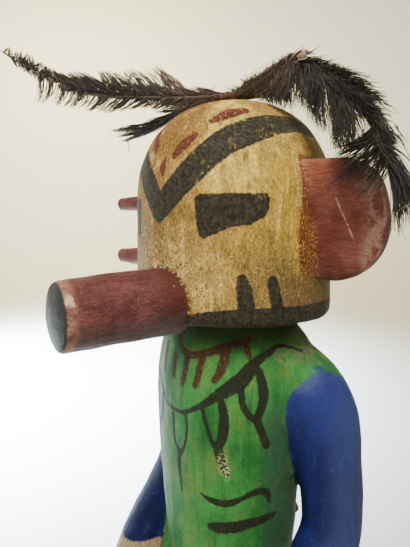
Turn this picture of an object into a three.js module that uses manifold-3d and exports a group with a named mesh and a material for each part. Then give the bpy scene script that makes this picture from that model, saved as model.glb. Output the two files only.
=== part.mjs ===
// Kachina doll: a figure carved from one piece of cottonwood root, wearing a case mask, with a peg for a
// snout, one flat ear, two pegs on the other side of the mask, and feathers tied to the crown. It stands
// on a low wooden base. Millimetres; +Z is up, the doll faces -Y, and its own left is +X. The origin is
// the middle of the base's underside.
import * as THREE from "three";
import { mergeVertices } from "three/addons/utils/BufferGeometryUtils.js";
import Module from "manifold-3d";

const wasm = await Module();
wasm.setup();

// Clearance between pieces that touch
const GAP = 0.3;

// Base
const BASE_WIDTH = 84;
const BASE_DEPTH = 72;
const BASE_HEIGHT = 9;
const BASE_CORNER = 16;
const BASE_EDGE = 1.4;
const BASE_MIDDLE_Y = -6;

// Case mask: a round wall under a dome
const MASK_RADIUS = 31;
const MASK_RIM_Z = 212;
const MASK_RIM_EDGE = 2;
const DOME_HEIGHT = 33;
const CROWN_Z = 277.5;
const DOME_FULLNESS = 2.33;

// Snout
const SNOUT_Z = 218;
const SNOUT_ROOT_RADIUS = 9.6;
const SNOUT_END_RADIUS = 8.5;
const SNOUT_ROOT_Y = -27.5;
const SNOUT_END_Y = -62.6;
const SNOUT_EDGE = 1.3;
const SNOUT_TAPER_POWER = 1.6;
const SNOUT_END_SLANT = 0.2;
const SNOUT_END_BULGE = 1;

// Flat ear on the doll's left, with the [x, z] places of its outline's corners and of the handles that
// shape its two round stretches
const EAR_TOP_Z = 258;
const EAR_BOTTOM_Z = 224.8;
const EAR_ROOT_X = 26;
const EAR_OUT_X = 51.2;
const EAR_THICKNESS = 5.2;
const EAR_EDGE = 0.7;
const EAR_FRONT_Y = -4;
const EAR_LEAN = THREE.MathUtils.degToRad(11);
const EAR_TOP_END = [40.5, 257.2];
const EAR_UPPER_HANDLES = [50, 255, EAR_OUT_X, 248];
const EAR_OUTERMOST = [EAR_OUT_X, 241.5];
const EAR_LOWER_HANDLES = [EAR_OUT_X, 232, 44.5, 225.1];
const EAR_BOTTOM_END = [36, EAR_BOTTOM_Z];

// Pegs in the place of the other ear
const PEG_HEADING = THREE.MathUtils.degToRad(190);
const PEG_REACH = 51.5;
const PEG_CHAMFER = 1.2;
const PEG_SIZES = {
  ear_peg_upper: { z: 248, rootRadius: 3.3, tipRadius: 2.4 },
  ear_peg_lower: { z: 228.2, rootRadius: 3.8, tipRadius: 2.8 },
};

// Peg at the back of the waist
const BACK_PEG_X = 9.5;
const BACK_PEG_Z = 136;
const BACK_PEG_RADIUS = 2.4;
const BACK_PEG_ROOT_Y = 15;
const BACK_PEG_END_Y = 25;
const BACK_PEG_CHAMFER = 0.9;

// How boxy the level sections of each form are; 2 is a true oval
const TORSO_SQUARENESS = 2.15;
const YOKE_SQUARENESS = 2.2;
const KILT_SQUARENESS = 2.1;

// Torso, as heights with the half width, half depth and middle of each level, top to bottom
const TORSO_LEVELS = [
  [220, 17, 16, 0],
  [212, 19, 18, -0.5],
  [205, 22, 20.4, -1],
  [196, 24.2, 21.6, -1.5],
  [186, 24.8, 22, -1.6],
  [172, 24.3, 21.8, -1.6],
  [158, 23.6, 21, -1.6],
  [144, 22.8, 20, -1.4],
  [132, 22, 19.4, -1.3],
  [118, 22, 19.4, -1.3],
];

// Shoulder yoke, which carries the chest out to the arms
const YOKE_LEVELS = [
  [211, 19, 15, 1],
  [205, 24.5, 17.8, 1.4],
  [198, 28.6, 19, 1.8],
  [189, 30.4, 18.4, 2.4],
  [179, 29, 15.4, 3.4],
  [168, 24, 11, 4.6],
];

// Belt and kilt below it, in the same way
const BELT_LEVELS = [
  [130, 22.8, 20.8, -1.4],
  [128.8, 24, 22, -1.4],
  [122.2, 24.6, 22.6, -1.4],
  [121, 23.8, 21.8, -1.4],
];
const KILT_LEVELS = [
  [126, 22.4, 20.6, -1.4],
  [118, 24.6, 22.2, -1.4],
  [104, 27, 24, -1.2],
  [88, 29.4, 25.2, -1.1],
  [76, 30.8, 25.9, -1],
  [73.4, 30.9, 25.9, -1],
  [72, 30, 25, -1],
];

// Arms: the course of each, shoulder to fist, as outward, y and z, with the limb's radius
const ARM_COURSE = [
  [11, 2.5, 203, 8.5],
  [19, 3.6, 199.5, 10.2],
  [26.4, 5, 192.5, 10.8],
  [30.8, 6.4, 182, 10.4],
  [32.4, 7, 168, 9.8],
  [34, 7, 155, 9],
  [34.6, 4.8, 147, 8.8],
  [33.8, -1.6, 139.5, 8.5],
  [32.8, -11.5, 130.5, 8.2],
  [31.2, -20.5, 121.5, 7.7],
  [28.8, -25.5, 115.2, 6.7],
  [28.2, -29, 111.6, 7.3],
  [27.6, -31.8, 108.8, 6.4],
];
const RIGHT_ARM_TUCK = 3.2;
const WEB_COURSE = [
  [16, 2, 141.4, 4.6],
  [22, -3, 134, 7.6],
  [27.2, -10, 125.5, 8],
  [26, -17.4, 117.4, 6.6],
];

// Legs and moccasins
const LEG_OUT = 12.6;
const LEG_LEVELS = [
  [80, 10.6, 10.8, -0.5],
  [66, 10, 10.6, -0.6],
  [54, 9.2, 9.8, -0.4],
  [42, 9.5, 10.3, 0.4],
  [30, 8.4, 9, 0],
  [15, 8.2, 8.8, 0],
];
const CUFF_LEVELS = [
  [31, 8.9, 9.5, 0],
  [30, 9.8, 10.4, 0],
  [25, 9.9, 10.5, 0],
  [24, 9, 9.6, 0],
];
const FOOT_HEEL_Y = 10.5;
const FOOT_TOE_Y = -25;
const FOOT_HALF_WIDTH = 9;
const FOOT_HALF_HEIGHT = 6.6;
const FOOT_TOE_DROP = 0.3;

// Feathers: the plane of each stands upright through the crown's middle on its own heading
const TIE_HALF_LENGTH = 8.5;
const TIE_HALF_WIDTH = 3.4;
const TIE_HALF_HEIGHT = 3;
const TIE_Z = 279.7;
const TIE_HEADING = THREE.MathUtils.degToRad(20);
const FRONT_HEADING = THREE.MathUtils.degToRad(-145);
const ARCH_HEADING = THREE.MathUtils.degToRad(-12);
const SMALL_HEADING = THREE.MathUtils.degToRad(-170);
const QUILL_RADIUS = 1.1;
const CLUMP_DEPTH = 0.4;

// Each feather as rows of [distance out, z] along its quill, the number of its clumps of barbs, the share of
// the quill that is bare, and the vane's widths above and below the quill and its half thickness
const FRONT_PLUME = {
  heading: FRONT_HEADING,
  rows: [
    [5, 281],
    [12, 280.9],
    [21.7, 280.7],
    [30, 281.2],
    [39.5, 283.3],
    [49.6, 286],
    [58.9, 289],
    [66.4, 292],
    [74, 295.2],
    [80.6, 299.4],
  ],
  clumps: 11,
  bare: 0.12,
  upper: [2, 8, 10.5, 8.5, 6.6, 4.2, 3, 2.4, 0.6],
  lower: [2, 3, 4.2, 5.6, 7.6, 8.4, 9.4, 6, 0.6],
  thickness: 1.7,
};

const ARCHED_PLUME = {
  heading: ARCH_HEADING,
  rows: [
    [3, 281.3],
    [9, 281.4],
    [16.7, 281.4],
    [24.5, 281.2],
    [33, 277.2],
    [41.4, 271],
    [48.3, 266],
    [53.2, 260.4],
    [54.8, 255.6],
    [53, 251],
  ],
  clumps: 9,
  bare: 0.1,
  upper: [1.8, 3.4, 5, 5.6, 5, 5, 5.2, 5, 3.8, 1.2],
  lower: [1.8, 3, 4.8, 6, 5, 4.4, 4.2, 4.2, 3.6, 1],
  thickness: 2.6,
};

// Loose bunches of barbs that hang from the arched plume
const HANGING_BUNCHES = [
  {
    heading: ARCH_HEADING,
    rows: [
      [30, 275],
      [33.5, 269.5],
      [36.7, 263.8],
    ],
    upper: [3, 2.6, 0.5],
    lower: [3, 2.6, 0.5],
  },
  {
    heading: ARCH_HEADING,
    rows: [
      [39.8, 270.3],
      [41.2, 264.4],
      [42.6, 259.9],
      [46.4, 255.4],
    ],
    upper: [3, 3.4, 3, 0.8],
    lower: [3, 3.4, 3, 0.8],
  },
  {
    heading: ARCH_HEADING,
    rows: [
      [54.5, 256],
      [51.6, 253.6],
      [48, 249.6],
      [45, 246.6],
    ],
    upper: [3.4, 4.4, 3.6, 0.8],
    lower: [3.4, 4.4, 3.6, 0.8],
  },
];

// Barbs that carry on past the arched plume's end and hang beside the ear's round edge
const TRAIL_ROWS = [
  [54, -11.4, 256.4],
  [56, -8.4, 251.4],
  [56.4, -2.4, 245.6],
  [56, 0.4, 240],
  [55.8, 1, 235.6],
];
const TRAIL_HALF_WIDTH = 3.6;
const TRAIL_HALF_THICKNESS = 2.2;

const SMALL_PLUME = {
  heading: SMALL_HEADING,
  rows: [
    [5, 281.2],
    [13, 281.2],
    [21, 280],
    [29, 277.6],
    [38, 275],
    [46, 273.8],
    [54.5, 274.8],
  ],
  clumps: 6,
  bare: 0.16,
  upper: [1.4, 2.4, 3, 3, 2.4, 1.4, 0.6],
  lower: [1.4, 2, 3, 3.4, 3, 2, 0.6],
  thickness: 1.5,
};

// A closed geometry as a solid; the normals go, so that the shared corners are one point.
function solid(geometry) {
  const bare = new THREE.BufferGeometry();
  bare.setAttribute("position", geometry.getAttribute("position"));
  bare.setIndex(geometry.index);
  const merged = mergeVertices(bare, 1e-4);
  return new wasm.Manifold(
    new wasm.Mesh({
      numProp: 3,
      vertProperties: merged.getAttribute("position").array,
      triVerts: new Uint32Array(merged.index.array),
    }),
  );
}

// Moves every point of a geometry by a rule.
function reshape(geometry, rule) {
  const position = geometry.getAttribute("position");
  const point = new THREE.Vector3();
  for (let i = 0; i < position.count; i++) {
    point.fromBufferAttribute(position, i);
    rule(point);
    position.setXYZ(i, point.x, point.y, point.z);
  }
  return geometry;
}

// A form given by level sections, each an oval; squareness 2 is a true oval, and more is boxier.
function stack(levels, rings, sides, squareness = 2) {
  const ovals = new THREE.CatmullRomCurve3(levels.map(([z, wide, deep]) => new THREE.Vector3(wide, deep, z)));
  const middles = new THREE.CatmullRomCurve3(levels.map(([z, , , y]) => new THREE.Vector3(0, y, z)));
  return reshape(new THREE.CylinderGeometry(1, 1, 1, sides, rings), (point) => {
    const along = 0.5 - point.y;
    const oval = ovals.getPoint(along);
    const corner = Math.hypot(point.x, point.z) > 0.5 ? roundness(point.x, point.z, squareness) : 0;
    point.set(-point.x * corner * oval.x, middles.getPoint(along).y + point.z * corner * oval.y, oval.z);
  });
}

function roundness(x, y, squareness) {
  return (Math.abs(x) ** squareness + Math.abs(y) ** squareness) ** (-1 / squareness);
}

// A form that follows a course. Its section at each share of the way reaches plus and minus to the
// sides and half each way along the across direction.
function sweep(points, rings, sides, across, section) {
  const way = new THREE.CatmullRomCurve3(points);
  const middle = new THREE.Vector3();
  const side = new THREE.Vector3();
  return reshape(new THREE.CylinderGeometry(1, 1, 1, sides, rings), (point) => {
    const along = THREE.MathUtils.clamp(0.5 - point.y, 0, 1);
    const { plus, minus, half } = section(along);
    way.getPoint(along, middle);
    side.crossVectors(across, way.getTangent(along)).normalize();
    const reach = point.x > 0 ? point.x * plus : point.x * minus;
    const depth = point.z * half;
    point.copy(middle).addScaledVector(side, reach).addScaledVector(across, depth);
  });
}

// A round limb that follows a course of [outward, y, z, radius], with rounded ends; hand is 1 or -1.
function limb(course, hand, rings, sides) {
  const points = course.map(([out, y, z]) => new THREE.Vector3(hand * out, y, z));
  const radii = new THREE.CatmullRomCurve3(course.map((row) => new THREE.Vector3(row[3], 0, 0)));
  return sweep(points, rings, sides, new THREE.Vector3(1, 0, 0), (along) => {
    const ending = Math.min(1, Math.min(along, 1 - along) * course.length * 1.6);
    const radius = radii.getPoint(along).x * Math.sqrt(1 - 0.9 * (1 - ending) ** 2);
    return { plus: radius, minus: radius, half: radius };
  });
}

// The case mask, grown by a clearance where another piece is cut to fit it.
function mask(clearance = 0) {
  const radius = MASK_RADIUS + clearance;
  const wallTop = CROWN_Z - DOME_HEIGHT;
  const height = DOME_HEIGHT + clearance;
  const rim = MASK_RIM_Z - clearance;
  const profile = [new THREE.Vector2(0, rim), new THREE.Vector2(radius - MASK_RIM_EDGE, rim)];
  for (let i = 1; i <= 3; i++) {
    const turn = (i / 3) * (Math.PI / 2);
    const inset = MASK_RIM_EDGE * (1 - Math.sin(turn));
    profile.push(new THREE.Vector2(radius - inset, rim + MASK_RIM_EDGE * (1 - Math.cos(turn))));
  }
  for (let i = 0; i <= 10; i++) {
    const turn = (i / 10) * (Math.PI / 2);
    const out = i < 10 ? radius * Math.cos(turn) ** (2 / DOME_FULLNESS) : 0;
    const up = height * Math.sin(turn) ** (2 / DOME_FULLNESS);
    profile.push(new THREE.Vector2(out, wallTop + up));
  }
  return solid(new THREE.LatheGeometry(profile, 36).rotateX(Math.PI / 2));
}

function arm(hand) {
  const tuck = hand < 0 ? RIGHT_ARM_TUCK : 0;
  const tucked = ARM_COURSE.map(([out, y, z, radius], i) => {
    return [out - tuck * Math.min(1, i / 4), y, z, radius];
  });
  return solid(limb(tucked, hand, 18, 14)).add(solid(limb(WEB_COURSE, hand, 5, 10)));
}

function leg(hand) {
  const out = hand * LEG_OUT;
  const shin = solid(stack(LEG_LEVELS, 7, 12).translate(out, 0, 0));
  const cuff = solid(stack(CUFF_LEVELS, 3, 12).translate(out, 0, 0));
  const ankle = BASE_HEIGHT + GAP + FOOT_HALF_HEIGHT - 1;
  const heelToToe = [
    new THREE.Vector3(out, FOOT_HEEL_Y, ankle),
    new THREE.Vector3(out + hand, (FOOT_HEEL_Y + FOOT_TOE_Y) / 2, ankle),
    new THREE.Vector3(out + hand * 2, FOOT_TOE_Y, ankle - 1),
  ];
  const foot = sweep(heelToToe, 7, 12, new THREE.Vector3(0, 0, 1), (along) => {
    const swell = Math.sqrt(Math.max(0.12, 1 - (2 * along - 1) ** 4));
    const width = FOOT_HALF_WIDTH * swell * (0.9 + 0.14 * Math.sin(Math.PI * along));
    return { plus: width, minus: width, half: FOOT_HALF_HEIGHT * swell * (1 - FOOT_TOE_DROP * along) };
  });
  return shin.add(cuff).add(solid(foot));
}

function figure() {
  let whole = mask();
  whole = whole.add(solid(stack(TORSO_LEVELS, 12, 26, TORSO_SQUARENESS)));
  whole = whole.add(solid(stack(YOKE_LEVELS, 8, 28, YOKE_SQUARENESS)));
  whole = whole.add(solid(stack(BELT_LEVELS, 3, 28, TORSO_SQUARENESS)));
  whole = whole.add(solid(stack(KILT_LEVELS, 8, 28, KILT_SQUARENESS)));
  for (const hand of [1, -1]) {
    whole = whole.add(arm(hand)).add(leg(hand));
  }
  const floor = BASE_HEIGHT + GAP;
  return whole.subtract(solid(new THREE.BoxGeometry(2 * BASE_WIDTH, 2 * BASE_DEPTH, 2 * floor)));
}

// The snout: a tapered peg with a rounded, slightly slanted end.
function snout() {
  const length = SNOUT_ROOT_Y - SNOUT_END_Y;
  const profile = [new THREE.Vector2(0, 0), new THREE.Vector2(SNOUT_ROOT_RADIUS, 0)];
  for (let i = 1; i <= 5; i++) {
    const along = (i / 5) * (length - SNOUT_EDGE);
    const taper = (along / length) ** SNOUT_TAPER_POWER;
    const radius = THREE.MathUtils.lerp(SNOUT_ROOT_RADIUS, SNOUT_END_RADIUS, taper);
    profile.push(new THREE.Vector2(radius, along));
  }
  const chamfer = 0.4 * SNOUT_EDGE;
  profile.push(new THREE.Vector2(SNOUT_END_RADIUS - chamfer, length - chamfer));
  profile.push(new THREE.Vector2(SNOUT_END_RADIUS - SNOUT_EDGE, length));
  profile.push(new THREE.Vector2(0, length + SNOUT_END_BULGE));
  const peg = new THREE.LatheGeometry(profile, 24);
  reshape(peg, (point) => {
    const share = (point.y / length) ** 4;
    const along = point.y + share * SNOUT_END_SLANT * point.x;
    point.set(point.x, SNOUT_ROOT_Y - along, SNOUT_Z - point.z);
  });
  return solid(peg).subtract(mask(GAP));
}

// The ear: a flat board with a straight top and a round outer edge, leaning forward at the top.
function ear() {
  const outline = new THREE.Shape();
  outline.moveTo(EAR_ROOT_X, EAR_TOP_Z);
  outline.lineTo(...EAR_TOP_END);
  outline.bezierCurveTo(...EAR_UPPER_HANDLES, ...EAR_OUTERMOST);
  outline.bezierCurveTo(...EAR_LOWER_HANDLES, ...EAR_BOTTOM_END);
  outline.lineTo(EAR_ROOT_X, EAR_BOTTOM_Z);
  outline.closePath();
  const board = new THREE.ExtrudeGeometry(outline, {
    depth: EAR_THICKNESS - 2 * EAR_EDGE,
    curveSegments: 9,
    bevelThickness: EAR_EDGE,
    bevelSize: EAR_EDGE,
    bevelOffset: -EAR_EDGE,
    bevelSegments: 2,
  });
  const middleZ = (EAR_TOP_Z + EAR_BOTTOM_Z) / 2;
  board.translate(0, -middleZ, EAR_EDGE);
  board.rotateX(Math.PI / 2 + EAR_LEAN);
  board.translate(0, EAR_FRONT_Y + EAR_THICKNESS, middleZ);
  return solid(board).subtract(mask(GAP));
}

function earPeg({ z, rootRadius, tipRadius }) {
  const root = MASK_RADIUS - 2;
  const profile = [
    new THREE.Vector2(0, root),
    new THREE.Vector2(rootRadius, root),
    new THREE.Vector2(tipRadius, PEG_REACH - PEG_CHAMFER),
    new THREE.Vector2(tipRadius - PEG_CHAMFER, PEG_REACH),
    new THREE.Vector2(0, PEG_REACH),
  ];
  const peg = new THREE.LatheGeometry(profile, 12);
  peg.rotateZ(PEG_HEADING - Math.PI / 2).translate(0, 0, z);
  return solid(peg).subtract(mask(GAP));
}

function backPeg() {
  const profile = [
    new THREE.Vector2(0, BACK_PEG_ROOT_Y),
    new THREE.Vector2(BACK_PEG_RADIUS, BACK_PEG_ROOT_Y),
    new THREE.Vector2(BACK_PEG_RADIUS, BACK_PEG_END_Y - BACK_PEG_CHAMFER),
    new THREE.Vector2(BACK_PEG_RADIUS - BACK_PEG_CHAMFER, BACK_PEG_END_Y),
    new THREE.Vector2(0, BACK_PEG_END_Y),
  ];
  const peg = new THREE.LatheGeometry(profile, 12).translate(BACK_PEG_X, 0, BACK_PEG_Z);
  const grown = TORSO_LEVELS.map(([z, wide, deep, y]) => [z, wide + GAP, deep + GAP, y]);
  return solid(peg).subtract(solid(stack(grown, 16, 32, TORSO_SQUARENESS)));
}

// The wrapped tie on the crown, grown by a clearance where the quills are cut to fit it.
function tie(clearance = 0) {
  const reach = TIE_HALF_LENGTH + clearance;
  const along = new THREE.Vector3(Math.cos(TIE_HEADING), Math.sin(TIE_HEADING), 0);
  const middle = new THREE.Vector3(0, 0, TIE_Z);
  const ends = [-reach, 0, reach].map((step) => middle.clone().addScaledVector(along, step));
  const bundle = sweep(ends, 8, 10, new THREE.Vector3(0, 0, 1), (share) => {
    const swell = Math.sqrt(Math.max(0.16, 1 - (2 * share - 1) ** 2));
    const width = (TIE_HALF_WIDTH + clearance) * swell;
    return { plus: width, minus: width, half: (TIE_HALF_HEIGHT + clearance) * swell };
  });
  return solid(bundle);
}

// The points of a course given as [distance out, z] on a heading.
function onHeading(heading, rows) {
  return rows.map(([out, z]) => new THREE.Vector3(out * Math.cos(heading), out * Math.sin(heading), z));
}

// Barbs cling together in clumps: the edge of the vane steps out slowly, then back at once.
function clump(along, clumps, depth) {
  return 1 - depth * (1 - ((along * clumps) % 1));
}

// A feather: a bare quill that widens into a vane with clumped edges, thickest along the quill.
function feather({ heading, rows, clumps, bare, upper, lower, thickness }) {
  const across = new THREE.Vector3(Math.sin(heading), -Math.cos(heading), 0);
  const upperCurve = new THREE.SplineCurve(upper.map((width, i) => new THREE.Vector2(i, width)));
  const lowerCurve = new THREE.SplineCurve(lower.map((width, i) => new THREE.Vector2(i, width)));
  const shape = sweep(onHeading(heading, rows), clumps * 3, 8, across, (along) => {
    const barbed = THREE.MathUtils.smoothstep(along, bare, bare + 0.08);
    const edge = clump(along, clumps, CLUMP_DEPTH);
    return {
      plus: THREE.MathUtils.lerp(QUILL_RADIUS, upperCurve.getPoint(along).y * edge, barbed),
      minus: THREE.MathUtils.lerp(QUILL_RADIUS, lowerCurve.getPoint(along).y * edge, barbed),
      half: THREE.MathUtils.lerp(QUILL_RADIUS, thickness * (1.1 - 0.6 * along), barbed),
    };
  });
  return solid(shape);
}

function archedPlume() {
  let whole = feather(ARCHED_PLUME);
  for (const bunch of HANGING_BUNCHES) {
    whole = whole.add(feather({ ...bunch, clumps: 3, bare: -0.2, thickness: 2 }));
  }
  const points = TRAIL_ROWS.map(([x, y, z]) => new THREE.Vector3(x, y, z));
  const trail = sweep(points, 12, 8, new THREE.Vector3(1, 0, 0), (along) => {
    const width = TRAIL_HALF_WIDTH * clump(along, 3, 0.35) * (1 - 0.7 * along ** 3);
    return { plus: width, minus: width, half: TRAIL_HALF_THICKNESS * (1 - 0.6 * along) };
  });
  return whole.add(solid(trail)).subtract(tie(GAP));
}

function base() {
  const x = BASE_WIDTH / 2 - BASE_EDGE;
  const y = BASE_DEPTH / 2 - BASE_EDGE;
  const corner = BASE_CORNER - BASE_EDGE;
  const outline = new THREE.Shape();
  outline.moveTo(-x + corner, -y);
  outline.lineTo(x - corner, -y);
  outline.absarc(x - corner, -y + corner, corner, -Math.PI / 2, 0);
  outline.lineTo(x, y - corner);
  outline.absarc(x - corner, y - corner, corner, 0, Math.PI / 2);
  outline.lineTo(-x + corner, y);
  outline.absarc(-x + corner, y - corner, corner, Math.PI / 2, Math.PI);
  outline.lineTo(-x, -y + corner);
  outline.absarc(-x + corner, -y + corner, corner, Math.PI, 1.5 * Math.PI);
  const slab = new THREE.ExtrudeGeometry(outline, {
    depth: BASE_HEIGHT - 2 * BASE_EDGE,
    curveSegments: 6,
    bevelThickness: BASE_EDGE,
    bevelSize: BASE_EDGE,
    bevelSegments: 1,
  });
  return solid(slab.translate(0, BASE_MIDDLE_Y, BASE_EDGE));
}

// A named mesh of a solid, with its finish.
function piece(name, shape, colour, roughness) {
  const { vertProperties, triVerts } = shape.getMesh();
  const geometry = new THREE.BufferGeometry();
  geometry.setAttribute("position", new THREE.BufferAttribute(vertProperties, 3));
  geometry.setIndex(new THREE.BufferAttribute(triVerts, 1));
  geometry.computeVertexNormals();
  const material = new THREE.MeshStandardMaterial({ color: colour, roughness, metalness: 0 });
  const mesh = new THREE.Mesh(geometry, material);
  mesh.name = name;
  return mesh;
}

const PINE = 0x8f7350;
const CORD = 0x6d4a3a;
const RED = 0x8c3a33;
const OCHRE = 0xc4a054;
const FEATHER = 0x3a2f29;

const doll = new THREE.Group();
doll.add(piece("base", base(), PINE, 0.8));
doll.add(piece("figure", figure(), OCHRE, 0.8));
doll.add(piece("snout", snout(), RED, 0.75));
doll.add(piece("ear", ear(), RED, 0.75));
for (const [name, sizes] of Object.entries(PEG_SIZES)) {
  doll.add(piece(name, earPeg(sizes), RED, 0.75));
}
doll.add(piece("back_peg", backPeg(), RED, 0.75));
doll.add(piece("feather_tie", tie().subtract(mask(GAP)), CORD, 0.9));
doll.add(piece("plume_front", feather(FRONT_PLUME).subtract(tie(GAP)), FEATHER, 0.7));
doll.add(piece("plume_arched", archedPlume(), FEATHER, 0.7));
doll.add(piece("plume_small", feather(SMALL_PLUME).subtract(tie(GAP)), FEATHER, 0.7));

export default doll;
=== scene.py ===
import math
import random

import bmesh
import bpy
import numpy as np
from mathutils import Matrix, Vector, noise
from mathutils.bvhtree import BVHTree


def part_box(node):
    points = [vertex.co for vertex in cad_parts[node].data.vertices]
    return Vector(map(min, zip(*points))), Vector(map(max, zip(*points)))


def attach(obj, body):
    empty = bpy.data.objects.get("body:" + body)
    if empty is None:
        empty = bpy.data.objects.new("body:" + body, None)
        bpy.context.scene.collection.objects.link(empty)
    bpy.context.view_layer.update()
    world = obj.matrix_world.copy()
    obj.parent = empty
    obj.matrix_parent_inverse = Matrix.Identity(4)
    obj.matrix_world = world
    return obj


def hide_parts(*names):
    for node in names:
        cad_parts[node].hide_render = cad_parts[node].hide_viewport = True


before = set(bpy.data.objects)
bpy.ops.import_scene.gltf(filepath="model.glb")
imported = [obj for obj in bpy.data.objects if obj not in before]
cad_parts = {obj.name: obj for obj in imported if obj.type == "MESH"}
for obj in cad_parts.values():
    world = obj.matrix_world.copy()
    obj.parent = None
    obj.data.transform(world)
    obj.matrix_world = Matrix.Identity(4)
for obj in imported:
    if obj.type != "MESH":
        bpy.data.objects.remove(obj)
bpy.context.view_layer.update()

# Base. A low board of pine under the doll, sawn, with its corners and edges rounded by hand and rubbed by
# long handling. The doll's soles are glued to it.
MM = 0.001
GRAIN_DRAWN_OUT = 0.85
random.seed(7)


def make_object(name, bm, body="root"):
    """A new object of a bmesh whose points are in millimetres, riding on the CAD's body."""
    mesh = bpy.data.meshes.new(name)
    bmesh.ops.recalc_face_normals(bm, faces=bm.faces)
    bm.to_mesh(mesh)
    bm.free()
    mesh.transform(Matrix.Scale(MM, 4))
    mesh.shade_smooth()
    piece = bpy.data.objects.new(name, mesh)
    bpy.context.scene.collection.objects.link(piece)
    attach(piece, body)
    return piece


def roughen(bm, height, grain, along=None, seed=0.0):
    """Pushes every point of a bmesh in or out by smooth noise, drawn out along a direction for wood grain."""
    bm.normal_update()
    offset = Vector((seed * 17.3, seed * 5.1, seed * 9.7))
    for vert in bm.verts:
        place = vert.co / grain
        if along is not None:
            place -= along * place.dot(along) * GRAIN_DRAWN_OUT
        vert.co += vert.normal * noise.noise(place + offset) * height


def srgb(*screen):
    """A colour given as 0-255 screen values, in the linear values that a shader takes."""
    return tuple(((part / 255 + 0.055) / 1.055) ** 2.4 if part > 10 else part / 3294.6 for part in screen)


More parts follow.
